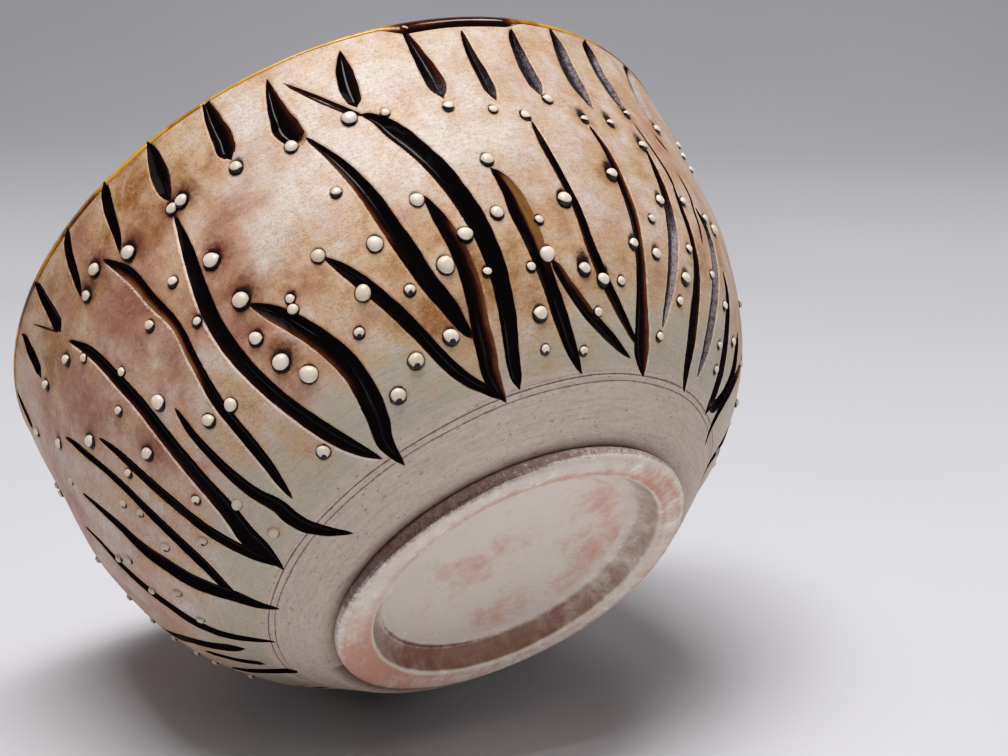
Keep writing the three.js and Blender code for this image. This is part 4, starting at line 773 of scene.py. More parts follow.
def clay_look():
    """Satin cream glaze stained with washes above, bare trimmed clay below."""
    k = Look("stained_clay", IOR=1.5, Specular_IOR_Level=0.4)
    pos, ring = k.place(), k.attr("ring", True)
    cloud, drift = k.noise(pos, 62, 6, 0.66, 0.7), k.noise(k.stretch(pos, (1.2, 0.9, 1.1)), 105, 6, 0.68, 0.5)
    mid, fine, grain = k.noise(pos, 260, 5, 0.64, 0.3), k.noise(pos, 900, 3, 0.6), k.noise(pos, 3600, 2, 0.6)
    streak = k.noise(ring, 1700, 4, 0.68)
    hair = k.noise(pos, 2300, 3, 0.66, 0.3)
    fibre = k.noise(k.stretch(ring, (5.5, 5.5, 1.0)), 1700, 4, 0.68, 0.35)
    weave = k.plus((streak, 0.3, 0.5), (fibre, 0.4, 0.5), (hair, 0.3, 0.5))
    green = k.span(k.plus((k.attr("green"), 1.0, 0.0), (mid, 0.6, 0.5), (cloud, 0.7, 0.5)), 0.05, 0.75)
    mauve_at = k.plus((k.attr("mauve"), 1.0, 0.0), (cloud, 1.9, 0.5), (mid, 1.2, 0.5), (fibre, 0.9, 0.5), (hair, 0.5, 0.5), (k.attr("pale"), -0.5, 0.0), (green, -0.4, 0.0))
    amber_at = k.plus((k.attr("amber"), 1.0, 0.0), (drift, 1.8, 0.5), (mid, 0.9, 0.5), (fibre, 0.6, 0.5), (k.attr("pale"), -0.4, 0.0), (green, -0.3, 0.0))
    bare = k.span(k.plus((k.attr("bare"), 1.0, 0.0), (mid, 0.5, 0.5), (fine, 0.2, 0.5)), 0.15, 0.9)
    colour = k.mix(k.span(drift, 0.36, 0.64), srgb(213, 202, 193), srgb(201, 184, 173))
    colour = k.mix(green, colour, srgb(186, 178, 160))
    # Each wash goes on in two strengths: a broad tint, then the stain itself.
    colour = k.mix(k.span(amber_at, -0.3, 0.5, 0.0, 0.72), colour, srgb(198, 160, 110))
    colour = k.mix(k.span(mauve_at, -0.2, 0.5, 0.0, 0.58), colour, srgb(190, 144, 120))
    colour = k.mix(k.span(mauve_at, 0.15, 1.1, 0.0, 0.95), colour, srgb(148, 93, 74))
    colour = k.mix(k.span(amber_at, 0.3, 1.1, 0.0, 0.95), colour, srgb(148, 96, 42))
    # A fine tooth all over, pale flecks, and a few brown specks.
    tooth = k.span(k.plus((fibre, 0.8, 0.1), (hair, 0.7, 0.5), (grain, 0.4, 0.5)), 0.12, 0.4, 0.46, 0.0)
    colour = k.mix(k.math("MULTIPLY", tooth, k.span(green, 0.0, 1.0, 1.0, 0.35)), colour, srgb(178, 138, 118), "MULTIPLY")
    colour = k.mix(k.span(streak, 0.34, 0.5, 0.2, 0.0), colour, srgb(190, 154, 134), "MULTIPLY")
    colour = k.mix(k.span(k.plus((mid, 0.5, 0.0), (fibre, 0.5, 0.0), (hair, 0.4, 0.5)), 0.5, 0.68, 0.0, 0.28), colour, srgb(222, 208, 196))
    speck = k.span(k.cells(pos, 620), 0.05, 0.17, 0.6, 0.0)
    colour = k.mix(k.math("MULTIPLY", speck, k.span(mid, 0.5, 0.72)), colour, srgb(110, 68, 50))
    turned = k.math("MULTIPLY", k.span(k.noise(ring, 1500, 4, 0.7), 0.38, 0.66), k.span(k.attr("calm"), 0.0, 1.0, 0.8, 0.1))
    clay = k.mix(k.attr("calm"), k.mix(turned, srgb(203, 189, 176), srgb(187, 170, 158)), k.mix(turned, srgb(224, 213, 202), srgb(206, 192, 183)))
    clay = k.mix(k.math("MULTIPLY", k.span(k.plus((fine, 1.0, 0.0), (grain, 0.8, 0.5)), 0.46, 0.7, 0.0, 0.4), k.span(k.attr("calm"), 0.0, 1.0, 1.0, 0.2)), clay, srgb(176, 156, 146), "MIX")
    clay = k.mix(k.span(k.plus((k.attr("pink"), 1.0, 0.0), (drift, 1.6, 0.5), (mid, 0.6, 0.5), (fine, 0.25, 0.5)), 0.08, 0.95, 0.0, 0.85), clay, srgb(204, 148, 130))
    pores = k.span(k.cells(k.stretch(ring, (3.0, 3.0, 1.0)), 1300), 0.06, 0.26, 0.85, 0.0)
    clay = k.mix(k.math("MULTIPLY", pores, k.math("MULTIPLY", k.span(fine, 0.42, 0.62), k.span(k.attr("calm"), 0.0, 1.0, 1.0, 0.0))), clay, srgb(104, 78, 70))
    # Soil in the groove, with painted shade in its crease and just above it.
    soil = k.span(k.plus((k.attr("soil"), 1.0, 0.0), (fine, 0.25, 0.5), (grain, 0.25, 0.5), (mid, 0.3, 0.5)), 0.0, 1.05, 0.0, 0.95)
    clay = k.mix(soil, clay, k.mix(k.span(k.plus((fine, 1.0, 0.0), (grain, 0.6, 0.5)), 0.4, 0.62), srgb(92, 70, 66), srgb(122, 98, 92)))
    colour = k.mix(bare, colour, clay)
    colour = k.mix(k.span(k.plus((k.attr("line"), 1.0, 0.0), (fine, 0.7, 0.5)), 0.25, 0.9, 0.0, 0.85), colour, srgb(96, 70, 60))
    # The pale line beside the gouges: glaze broken thin, with a painted highlight.
    colour = k.mix(k.span(k.plus((k.attr("edge"), 1.0, 0.0), (fine, 1.2, 0.5), (grain, 1.4, 0.5)), 0.3, 0.95, 0.0, 0.75), colour, srgb(234, 216, 204))
    colour = k.mix(k.span(k.plus((k.attr("smudge"), 1.0, 0.0), (fibre, 0.8, 0.5), (hair, 0.6, 0.5), (fine, 0.7, 0.5), (mid, 0.5, 0.5)), 0.2, 0.95, 0.0, 0.85), colour, srgb(104, 56, 42))
    # The dark line round each dot: a wash stain, with painted shade below the dot.
    colour = k.mix(k.span(k.plus((k.attr("halo"), 1.0, 0.0), (hair, 0.5, 0.5), (fine, 0.7, 0.5), (grain, 0.5, 0.5)), 0.15, 0.85), colour, srgb(32, 16, 11))
    k.set("Base Color", colour)
    rough = k.math("ADD", k.span(bare, 0.0, 1.0, 0.42, 0.74), k.span(weave, -0.25, 0.25, 0.1, -0.04))
    k.set("Roughness", rough)
    height = k.plus((weave, 0.9, 0.0), (fine, 0.5, 0.5), (grain, 0.35, 0.5))
    k.set("Normal", k.bump(height, 0.55, 0.00022))
    return k.mat


def dark_look(name="dark_glaze"):
    """Glossy black-brown glaze that goes red and amber where it is thin."""
    k = Look(name, IOR=1.5)
    lay, pos = k.attr("lay", True), k.place()
    flow = k.noise(k.stretch(lay, (0.12, 1.0, 1.0)), 1500, 3, 0.6)
    fine, spots = k.noise(pos, 1200, 3, 0.6), k.noise(pos, 5200, 2, 0.7)
    rib = k.noise(k.stretch(lay, (1.0, 0.1, 1.0)), 2600, 2, 0.6)
    grain = k.attr("grain")
    thin = k.plus((k.attr("thin"), 1.0, 0.0), (flow, 0.42, 0.5), (fine, 0.18, 0.5))
    colour = k.ramp(thin, [
        (0.0, (0.0075, 0.0050, 0.0058, 1)), (0.3, (0.018, 0.0085, 0.0075, 1)), (0.5, (0.070, 0.020, 0.013, 1)),
        (0.7, (0.15, 0.066, 0.030, 1)), (0.95, (0.25, 0.135, 0.055, 1)),
    ])
    frost = k.attr("frost")
    # Grey freckles where the glaze dried grainy, partly painted sheen.
    freckle_and_sheen = k.math("MULTIPLY", k.span(k.plus((spots, 1.0, 0.0), (fine, 0.5, 0.5)), 0.46, 0.64), k.span(grain, 0.2, 1.0, 0.0, 0.6))
    colour = k.mix(freckle_and_sheen, colour, srgb(112, 104, 114))
    # A pale grey-lavender bloom: frosted glaze, with painted sheen on the facet that faces the light.
    frost_and_sheen_mix = k.math("MULTIPLY", k.span(k.plus((frost, 1.0, 0.0), (spots, 1.3, 0.5), (fine, 0.9, 0.5), (rib, 0.5, 0.5)), 0.0, 0.9, 0.0, 0.95), k.span(frost, 0.0, 0.3))
    colour = k.mix(frost_and_sheen_mix, colour, k.mix(k.span(frost, 0.3, 0.65), srgb(108, 103, 114), srgb(188, 176, 174)))
    k.set("Base Color", colour)
    k.set("Roughness", k.plus((grain, 0.2, -0.4), (flow, 0.05, 0.5), (frost, 0.3, 0.0)))
    k.set("Specular IOR Level", k.span(k.plus((k.attr("gleam"), 1.0, 0.0), (flow, 0.5, 0.5)), 0.35, 0.95, 0.018, 0.2))
    height = k.plus((flow, 0.1, 0.5), (k.math("MULTIPLY", rib, grain), 1.6, 0.25), (k.math("MULTIPLY", spots, grain), 1.6, 0.25))
    k.set("Normal", k.bump(height, 0.5, 0.00016))
    return k.mat


def slip_look():
    """Creamy slip dots with brown wash caught round their feet."""
    k = Look("slip_dots", IOR=1.5, Coat_Weight=0.25, Coat_Roughness=0.12)
    pos = k.place()
    mid, fine = k.noise(pos, 420, 3, 0.6), k.noise(pos, 1900, 3, 0.6)
    colour = k.mix(k.attr("tint"), srgb(229, 216, 204), srgb(214, 200, 177))
    colour = k.mix(k.span(mid, 0.45, 0.75, 0.0, 0.45), colour, srgb(192, 174, 152))
    low = k.span(k.plus((k.attr("rise"), 1.0, 0.0), (fine, 0.25, 0.5)), 0.02, 0.26, 1.0, 0.0)
    colour = k.mix(low, colour, srgb(62, 38, 26))
    colour = k.mix(k.attr("faded"), colour, k.mix(k.span(mid, 0.4, 0.65), srgb(192, 182, 160), srgb(186, 166, 150)))
    # pit: the painted shade under each dot's lower edge, and the dark bubble holes.
    colour = k.mix(k.span(k.plus((k.attr("pit"), 1.0, 0.0), (fine, 0.25, 0.5)), 0.35, 0.65), colour, srgb(14, 8, 7))
    k.set("Base Color", colour)
    k.set("Roughness", k.span(fine, 0.3, 0.7, 0.3, 0.44))
    k.set("Normal", k.bump(k.plus((fine, 1.0, 0.5), (mid, 1.0, 0.5)), 0.35, 0.0002))
    return k.mat


def honey_look():
    """Runny honey glaze over the lip, dark where it gathered."""
    k = Look("honey_glaze", IOR=1.52, Coat_Roughness=0.05, Specular_IOR_Level=0.25)
    pos = k.place()
    big, mid, fine = k.noise(pos, 45, 3), k.noise(pos, 260, 4, 0.6), k.noise(pos, 1400, 3)
    deep = k.plus((k.attr("deep"), 1.0, 0.0), (mid, 0.5, 0.5), (big, 0.35, 0.5))
    colour = k.ramp(deep, [
        (0.0, srgb(216, 170, 88)), (0.3, srgb(182, 126, 46)), (0.6, srgb(110, 62, 22)), (0.85, srgb(60, 29, 14)), (1.0, srgb(34, 16, 10)),
    ])
    k.set("Base Color", colour)
    k.set("Coat Weight", k.span(k.attr("deep"), 0.55, 0.95, 0.1, 1.0))
    k.set("Roughness", k.span(fine, 0.3, 0.7, 0.1, 0.2))
    k.set("Normal", k.bump(k.plus((mid, 1.0, 0.5), (fine, 0.3, 0.5)), 0.2, 0.0002))
    return k.mat


def liner_look():
    """Honey glaze inside, paler on the throwing rings and pooled on the floor."""
    k = Look("liner_glaze", IOR=1.52, Coat_Weight=0.4, Coat_Roughness=0.06)
    pos = k.place()
    big, mid, fine = k.noise(pos, 26, 4, 0.6), k.noise(pos, 160, 4, 0.6), k.noise(pos, 1500, 3)
    run = k.noise(k.stretch(pos, (1.0, 1.0, 0.1)), 260, 3, 0.6)
    deep = k.plus((k.attr("deep"), 1.0, 0.0), (run, 0.5, 0.5), (big, 0.4, 0.5), (mid, 0.3, 0.5))
    colour = k.ramp(deep, [
        (0.0, srgb(232, 206, 156)), (0.35, srgb(206, 162, 98)), (0.65, srgb(160, 104, 48)), (1.0, srgb(88, 48, 20)),
    ])
    speck = k.math("MULTIPLY", k.span(k.cells(pos, 480), 0.05, 0.15, 0.7, 0.0), k.span(mid, 0.48, 0.7))
    k.set("Base Color", k.mix(speck, colour, srgb(74, 40, 20)))
    k.set("Roughness", k.span(fine, 0.3, 0.7, 0.1, 0.22))
    k.set("Normal", k.bump(k.plus((mid, 1.0, 0.5), (fine, 0.3, 0.5)), 0.3, 0.0003))
    return k.mat


def foot_look():
    """Bare matte clay of the foot, with pink wash rubbed on, soil in the groove, and painted shade on the flank and the
    inner wall.
    """
    k = Look("bare_foot_clay", IOR=1.5, Specular_IOR_Level=0.35)
    pos, ring = k.place(), k.attr("ring", True)
    big, mid = k.noise(pos, 60, 3), k.noise(pos, 260, 4, 0.65, 0.4)
    fine, grain = k.noise(pos, 1100, 3, 0.6), k.noise(pos, 3600, 2)
    turn_marks = k.noise(ring, 1300, 4, 0.7)
    chalk = k.plus((mid, 0.8, 0.0), (fine, 0.25, 0.125), (big, 0.5, 0.25))
    colour = k.mix(k.span(chalk, 0.34, 0.66), srgb(238, 231, 221), srgb(219, 207, 196))
    pink = k.span(k.plus((k.attr("pink"), 1.0, 0.0), (mid, 1.0, 0.5), (fine, 0.45, 0.5), (grain, 0.3, 0.5), (big, 0.6, 0.5)), 0.12, 0.95, 0.0, 0.88)
    colour = k.mix(pink, colour, srgb(198, 144, 126))
    pores = k.math("MULTIPLY", k.span(k.cells(k.stretch(ring, (3.0, 3.0, 1.0)), 900), 0.06, 0.2, 0.8, 0.0), k.span(fine, 0.5, 0.7))
    colour = k.mix(pores, colour, srgb(112, 80, 70))
    # The inner wall: grey-brown clay with painted shade of the recess.
    inside = k.span(k.plus((k.attr("inside"), 1.0, 0.0), (mid, 0.5, 0.5), (fine, 0.2, 0.5)), 0.1, 0.95, 0.0, 0.9)
    colour = k.mix(inside, colour, k.mix(k.span(k.plus((mid, 0.7, 0.0), (big, 0.5, 0.2)), 0.36, 0.62), srgb(146, 117, 102), srgb(134, 93, 81)))
    colour = k.mix(k.span(k.plus((k.attr("seam"), 1.0, 0.0), (mid, 0.4, 0.5), (fine, 0.3, 0.5)), 0.25, 0.9, 0.0, 0.8), colour, srgb(112, 62, 54))
    # Soil on the flank, with painted shade where the ring turns from the light.
    soil = k.span(k.plus((k.attr("soil"), 1.0, 0.0), (mid, 0.35, 0.5), (fine, 0.7, 0.5), (grain, 0.8, 0.5)), 0.15, 0.9, 0.0, 0.95)
    colour = k.mix(soil, colour, k.mix(k.span(k.plus((fine, 1.0, 0.0), (grain, 0.9, 0.5)), 0.4, 0.62), srgb(66, 47, 45), srgb(112, 86, 82)))
    k.set("Base Color", colour)
    k.set("Roughness", k.span(fine, 0.3, 0.7, 0.66, 0.84))
    k.set("Normal", k.bump(k.plus((turn_marks, 0.5, 0.5), (fine, 0.8, 0.5), (grain, 0.6, 0.5)), 0.5, 0.00025))
    return k.mat


CLAY, DARK, SLIP, HONEY, LINER, FOOT = clay_look(), dark_look(), slip_look(), honey_look(), liner_look(), foot_look()

# ---- pieces ------------------------------------------------------------------------
make("wall", verts, quads, uv, tris, tri_uv, wall_attrs, [CLAY], stands_for=["bowl_wall"])

for i, group in enumerate(POOL_STROKES):
    styles = [STYLE.get(st.name, (0.05, -1, 0.2, 0.5, 0.0, 1.0, 0.2)) for st in group]
    parts = []
    for j, st in enumerate(group):
        near = [(o, other[0]) for o, other in zip(group, styles) if o is not st and o.name != "tick"]
        parts.append(pool(st, styles[j], near, 0.006 * j))
    v, q, t, a = gather(parts)
    make("leaf_pool_%02d" % (i + 1), v, q, t, attrs=a, looks=[DARK], stands_for=["leaf_glaze_%02d" % (i + 1)])

# The lip's glaze is one run of glass: a ring over the lip, and tongues down the short cuts.
LIP = [
    (84.1, 90.3), (84.85, 90.75), (85.05, 91.2), (85.1, 92.0), (84.95, 92.8), (84.4, 93.45), (83.5, 93.75), (82.4, 93.7),
    (81.4, 93.3), (80.6, 92.4), (80.1, 91.2), (79.7, 89.6), (79.65, 88.6), (80.6, 88.4), (82.2, 89.2), (83.3, 89.9),
]
lip = rounded(LIP + LIP[:1], 0.28)[:-1]
lip_columns = 1600
lip_turn = np.pi / 2 + TAU * np.arange(lip_columns) / lip_columns
L, A = np.meshgrid(np.arange(len(lip)), lip_turn, indexing="ij")
lr, lz = lip[L, 0], lip[L, 1]
deep_stretch = 1 - step(math.radians(8.0), math.radians(12.5), np.abs((A - math.radians(-57) + math.pi) % TAU - math.pi))
right_stretch = 1 - step(math.radians(5.0), math.radians(11.0), np.abs((A - math.radians(-42) + math.pi) % TAU - math.pi))
left_stretch = bell(np.abs((A - math.radians(-125) + math.pi) % TAU - math.pi), 0.35)
hang = 0.35 * np.sin(3 * A + 0.6) + 0.25 * np.sin(8 * A + 1.0) + 0.18 * np.sin(17 * A) + 0.1 * np.sin(31 * A + 2)
lower = 91.8 + 0.45 * hang - 2.6 * deep_stretch - 0.8 * right_stretch * (1 - deep_stretch) - 0.9 * left_stretch
outer = (lr > 83.2) & (lz < 93.2)
share = np.clip((93.2 - lz) / (93.2 - 90.3), 0, 1)
lz = np.where(outer, 93.2 - (93.2 - lower) * share, lz) - 0.03 * step(92, 93.7, lz)
lr = lr + outer * 0.4 * deep_stretch * np.sin(math.pi * np.clip(share, 0, 1)) ** 1.2
bite, _, _, _ = carve(A.ravel(), np.clip(lz.ravel(), 80, 93.3), CUT_STROKES)
lr = lr + np.minimum(bite.reshape(lr.shape), 0) * step(83.6, 84.6, lr) + wobble(A, np.full(A.shape, 92.0)) * step(83, 85, lr)
ring_v = np.stack([lr * np.cos(A), lr * np.sin(A), lz], -1).reshape(-1, 3)
ring_q, ring_t = turned_faces(len(lip), lip_columns, box=(0, 0, 1, 1), close=True)
gathered = np.zeros(A.shape)
for centre, wide, amount in ((-57, 10.5, 1.0), (-122, 5, 0.35), (-141, 5, 0.5), (-100, 3, 0.3), (-45, 4, 0.35), (-20, 8, 0.45), (40, 9, 0.7), (110, 7, 0.5), (165, 8, 0.6), (75, 4, 0.4)):
    away = np.abs((A - math.radians(centre) + math.pi) % TAU - math.pi)
    gathered = np.maximum(gathered, amount * (1 - step(math.radians(wide) * 0.72, math.radians(wide) * 1.15, away)))
ring_deep = 0.14 + 0.2 * bell(np.abs((A - math.radians(-143) + math.pi) % TAU - math.pi), 0.4) + 0.72 * gathered + 0.42 * outer * step(0.55, 0.95, share) + 0.12 * (1 - step(82.0, 83.4, lr))
ring_part = (ring_v, ring_q, ring_t, {
    "deep": ring_deep.ravel(), "thin": np.full(ring_v.shape[0], 0.3), "gleam": np.zeros(ring_v.shape[0]), "grain": np.zeros(ring_v.shape[0]), "frost": np.zeros(ring_v.shape[0]), "lay": ring_v * MM})
cut_parts = []
for i, st in enumerate(CUT_STROKES):
    source = i if i < 15 else ((i - 15) * 4 + 2) % 15
    lean, grain, frost, frost_and_sheen_from = CUT_STYLE[source]
    v, q, t, a = pool(st, (lean, 1, 0.52 if source in (6, 7, 9) else 0.36, 1.1, 0.0, 1.0, grain, frost, frost_and_sheen_from))
    a["deep"] = np.full(len(v), 0.9)
    cut_parts.append((v, q, t, a))
v, q, t, a = gather([ring_part] + cut_parts)
ring_faces = len(ring_q)
t[:ring_faces] = np.asarray(ring_t) * np.array([1.0, 0.3]) + np.array([0.0, 0.7])
t[ring_faces:] = t[ring_faces:] * np.array([1.0, 0.69])
look_of = np.r_[np.zeros(ring_faces, int), np.ones(len(q) - ring_faces, int)]
make("lip_glaze", v, q, t, attrs=a, looks=[HONEY, DARK], look_of=look_of, stands_for=["rim_glaze"])

# Slip dots: squashed domes whose skirts reach into the clay.
AROUND, RINGS = 36, 13
dome_v, dome_q, dome_t, dome_tri, dome_tt = [], [], [], [], []
rise_a, hole_and_shade_a, tint_a, faded_a = [], [], [], []
tiles = math.ceil(math.sqrt(len(dots)))
first = 0
for k, (a, h, r) in enumerate(dots):
    c, n = on_wall(np.full(1, a), np.full(1, h))[0], wall_normal(np.full(1, a), np.full(1, h))[0]
    east = np.array([-math.sin(a), math.cos(a), 0.0])
    north = np.cross(n, east)
    seed = rng.random(6)
    turn_by = seed[0] * TAU
    long_by, lx, ly = LONG.get(k, (1.0 + 0.1 * seed[1], math.cos(turn_by), math.sin(turn_by)))
    size = math.hypot(lx, ly)
    lx, ly = lx / size, ly / size
    tall = r * (0.74 + 0.12 * seed[2])
    lift = np.r_[-0.9, -0.25, np.sin(np.linspace(0.06, 0.5 * math.pi * 0.96, RINGS - 2)) ** 0.9 * tall]
    wide = np.r_[0.9 * r, 1.0 * r, r * np.cos(np.linspace(0.06, 0.5 * math.pi * 0.96, RINGS - 2)) ** 0.85]
    phi = TAU * np.arange(AROUND) / AROUND
    x, y = np.outer(wide, np.cos(phi)), np.outer(wide, np.sin(phi))
    along = x * lx + y * ly
    x, y = x + along * lx * (long_by - 1), y + along * ly * (long_by - 1)
    lump = 1 + 0.035 * np.sin(2 * phi + 6 * seed[3]) + 0.025 * np.sin(3 * phi + 6 * seed[4])
    x, y = x * lump, y * lump
    lifted = np.broadcast_to(lift[:, None], x.shape).copy()
    # The nozzle's tail leaves the top a little to one side.
    x += 0.1 * r * (seed[3] - 0.5) * (lifted / tall).clip(0) ** 2
    # Painted shade: a half-moon of dark under the dot's lower edge, on the side away from the light.
    down = SHADE_DOWN - n * (SHADE_DOWN @ n)
    dx, dy = down @ east, down @ north
    dx, dy = dx / math.hypot(dx, dy), dy / math.hypot(dx, dy)
    sunk = 0.38 if k in DEEP_SHADE_BELOW else 0.0 if k in PLAIN else 0.08 + 0.15 * seed[5]
    pit = step(0.93, 1.05, np.hypot(x + dx * sunk * r, y + dy * sunk * r) / r) * (sunk > 0.05)
    # Some dots burst at a bubble and keep a small round hole low down.
    if k in BITTEN:
        pit = np.maximum(0.6 * pit, 1 - step(0.32, 0.48, np.hypot(x - (0.58 * dx + 0.12) * r, y - (0.58 * dy) * r) / r))
    lifted = lifted - 0.12 * r * pit * (lifted > 0)
    v = c + x[..., None] * east + y[..., None] * north + lifted[..., None] * n
    top = c + n * tall * 1.005 + east * 0.05 * r * (seed[3] - 0.5)
    base = c - n * 0.9
    u0, v0 = (k % tiles) / tiles, (k // tiles) / tiles
    q, t = turned_faces(RINGS, AROUND, first, (u0, v0, u0 + 0.97 / tiles, v0 + 0.9 / tiles))
    dome_v += [v.reshape(-1, 3), top[None], base[None]]
    dome_q.append(q)
    dome_t.append(t)
    i = np.arange(AROUND)
    j = (i + 1) % AROUND
    tip, under_tip, last = first + RINGS * AROUND, first + RINGS * AROUND + 1, first + (RINGS - 1) * AROUND
    dome_tri += [np.stack([last + i, last + j, np.full(AROUND, tip)], -1), np.stack([first + j, first + i, np.full(AROUND, under_tip)], -1)]
    fan = np.stack([np.stack([u0 + 0.97 / tiles * i / AROUND, np.full(AROUND, v0 + 0.9 / tiles)], -1), np.stack([u0 + 0.97 / tiles * (i + 1) / AROUND, np.full(AROUND, v0 + 0.9 / tiles)], -1),
                    np.stack([u0 + 0.97 / tiles * (i + 0.5) / AROUND, np.full(AROUND, v0 + 0.95 / tiles)], -1)], 1)
    fan2 = fan[:, [1, 0, 2]] * np.array([1.0, 1.0])
    fan2[..., 1] = v0 + (0.955 + 0.03 * np.array([0, 0, 1])) / tiles
    dome_tt += [fan, fan2]
    rise_a += [np.clip(lifted / tall, 0, 1).ravel(), [1.0, 0.0]]
    hole_and_shade_a += [pit.ravel(), [0.0, 0.0]]
    left = 0.55 if math.degrees(a) < -85 else 0.25
    faded_a += [np.full(RINGS * AROUND + 2, 0.85 if k in FADED else 0.0)]
    tint_a += [np.full(RINGS * AROUND + 2, min(1.0, left * 2 * seed[4]))]
    first += RINGS * AROUND + 2
make("slip_dots", np.concatenate(dome_v), np.concatenate(dome_q), np.concatenate(dome_t), np.concatenate(dome_tri), np.concatenate(dome_tt),
     {"rise": np.concatenate(rise_a), "pit": np.concatenate(hole_and_shade_a), "tint": np.concatenate(tint_a), "faded": np.concatenate(faded_a)}, [SLIP])

# The foot ring, turned a little off centre inside, with a soft outer roll.
FOOT_PROFILE = [
    (39.0, 6.2), (40.6, 5.6), (41.3, 4.9), (41.6, 4.2), (41.9, 3.6), (42.3, 2.9), (42.55, 2.2), (42.5, 1.5), (42.05, 0.75), (41.3, 0.25),
    (40.5, 0.04), (39.8, 0.0), (37.8, 0.0), (36.0, 0.0), (35.4, 0.1), (34.95, 0.45), (34.6, 1.2), (34.2, 2.3), (33.7, 3.3), (33.0, 4.15), (32.1, 4.75), (31.0, 5.12), (29.7, 5.32), (28.6, 5.5), (28.6, 6.0), (31.6, 6.7), (35.5, 6.9),
]
foot = rounded(FOOT_PROFILE + FOOT_PROFILE[:1], 0.3)[:-1]
foot_columns = 720
foot_turn = np.pi / 2 + TAU * np.arange(foot_columns) / foot_columns
L, A = np.meshgrid(np.arange(len(foot)), foot_turn, indexing="ij")
fr, fz = foot[L, 0], foot[L, 1]
low_down = (fz > 0.01) & (fz < 6.2)
fr = fr + np.where(low_down, 0.05 * np.sin(3 * A + 0.4) + 0.035 * np.sin(7 * A + fz), 0.0)
far_side = bell(np.abs((A - math.radians(108) + math.pi) % TAU - math.pi), 1.0)
fr = fr - 2.0 * far_side * step(37.0, 41.5, fr) * (1 - step(3.0, 4.8, fz))
off_axis = 1 - step(35.0, 41.0, fr)
inner_face = (fr < 35.2) & (fz < 5.7)
contact = (fz < 1.6) * step(35.0, 35.7, fr) * (1 - step(40.2, 42.4, fr))
foot_v = np.stack([fr * np.cos(A) + 0.6 + 0.9 * off_axis, fr * np.sin(A) - 1.9 - 0.4 * off_axis, fz], -1).reshape(-1, 3)
q, t = turned_faces(len(foot), foot_columns, close=True)
ends = bell(np.abs((A - math.radians(176) + math.pi) % TAU - math.pi), 0.6) + 0.8 * bell(np.abs((A - math.radians(-8) + math.pi) % TAU - math.pi), 0.5)
low_side = bell(np.abs((A - math.radians(105) + math.pi) % TAU - math.pi), 1.0)
near_side = bell(np.abs((A - math.radians(-80) + math.pi) % TAU - math.pi), 1.1)
pink = 0.03 + contact * (0.02 + 0.75 * ends + 0.3 * low_side) + (0.12 + 0.45 * near_side) * bell(fr - 36.2, 0.6 + 1.2 * near_side) * (fz < 0.6)
pink = pink + 0.25 * bell(np.abs((A - math.radians(60) + math.pi) % TAU - math.pi), 0.9) * (fz < 1.6) * (fr > 40.0)
pink = pink + 0.3 * bell(np.abs((A - math.radians(180) + math.pi) % TAU - math.pi), 0.7) * (fr > 40.6) * (fz < 2.6)
pink = pink + 0.4 * bell(np.abs((A - math.radians(72) + math.pi) % TAU - math.pi), 0.6) * step(37.5, 39.5, fr) * (fz < 1.6)
# inside: the inner wall of the foot ring, coloured darker brown and most on the far side: its own grey-brown with
# painted shade of the recess.
inside = inner_face * step(0.2, 1.1, fz) * (1 - step(4.6, 5.45, fz)) * (0.45 + 0.55 * bell(np.abs((A - math.radians(122) + math.pi) % TAU - math.pi), 0.95))
left_low = bell(np.abs((A - math.radians(150) + math.pi) % TAU - math.pi), 0.75)
seam_line = inner_face * bell(fz - 5.05, 0.14) * (0.1 + 0.85 * left_low)
around = np.degrees((A + math.pi) % TAU - math.pi)
shaded = bell(around + 100, 45)
# soil on the foot: soil on the flank, plus painted shade on the flank and on the contact face's outer edge on the
# shaded side, and on the outer edge of the far side.
soil = ((0.5 + 0.5 * shaded) * step(0.75 - 0.5 * shaded, 1.5 - 0.5 * shaded, fz) + 0.25 * step(3.0, 3.9, fz)) * (fr > 40.2) * (1 - 0.4 * step(-130, -165, around)) + 0.55 * shaded * step(39.4, 42.0, fr) * (fz < 0.8) + 0.4 * bell(around - 142, 36) * step(38.4, 40.6, fr) * (fz < 2.5)
along = np.r_[0, np.cumsum(np.linalg.norm(np.diff(foot, axis=0), axis=1))]
foot_ring_vec = np.stack([foot_v[:, 0] * 0.1, foot_v[:, 1] * 0.1, np.repeat(along, foot_columns)], -1) * MM
make("foot", foot_v, q[:, ::-1], t[:, ::-1], attrs={"pink": pink.ravel(), "soil": soil.ravel(), "inside": inside.ravel(), "seam": seam_line.ravel(), "ring": foot_ring_vec}, looks=[FOOT],
     stands_for=["foot_ring"])

# The glaze inside, over the throwing rings.
INNER = [(79.9, 89.1), (78.9, 85), (77.7, 76), (76.4, 66), (74.2, 54), (71.2, 46), (67.4, 38), (62.0, 30), (56.0, 24.4), (49.0, 20.2), (41.0, 17.2), (32.0, 15.2), (22.0, 14.35), (11.0, 14.05), (0.6, 14.0)]
inner = rounded(INNER, 0.6)
inner_columns = 480
inner_turn = np.pi / 2 + TAU * np.arange(inner_columns) / inner_columns
I, A = np.meshgrid(np.arange(len(inner)), inner_turn, indexing="ij")
reach = np.r_[0, np.cumsum(np.linalg.norm(np.diff(inner, axis=0), axis=1))][I]
slope = np.gradient(inner, axis=0)
facing = unit(np.stack([slope[:, 1], -slope[:, 0]], -1))[I]
rings = 0.13 * np.sin(TAU * (reach / 5.2 + A / TAU)) * step(3, 12, reach) * (1 - step(reach.max() - 14, reach.max() - 4, reach))
ir, iz = inner[I, 0] + facing[..., 0] * rings, inner[I, 1] + facing[..., 1] * rings
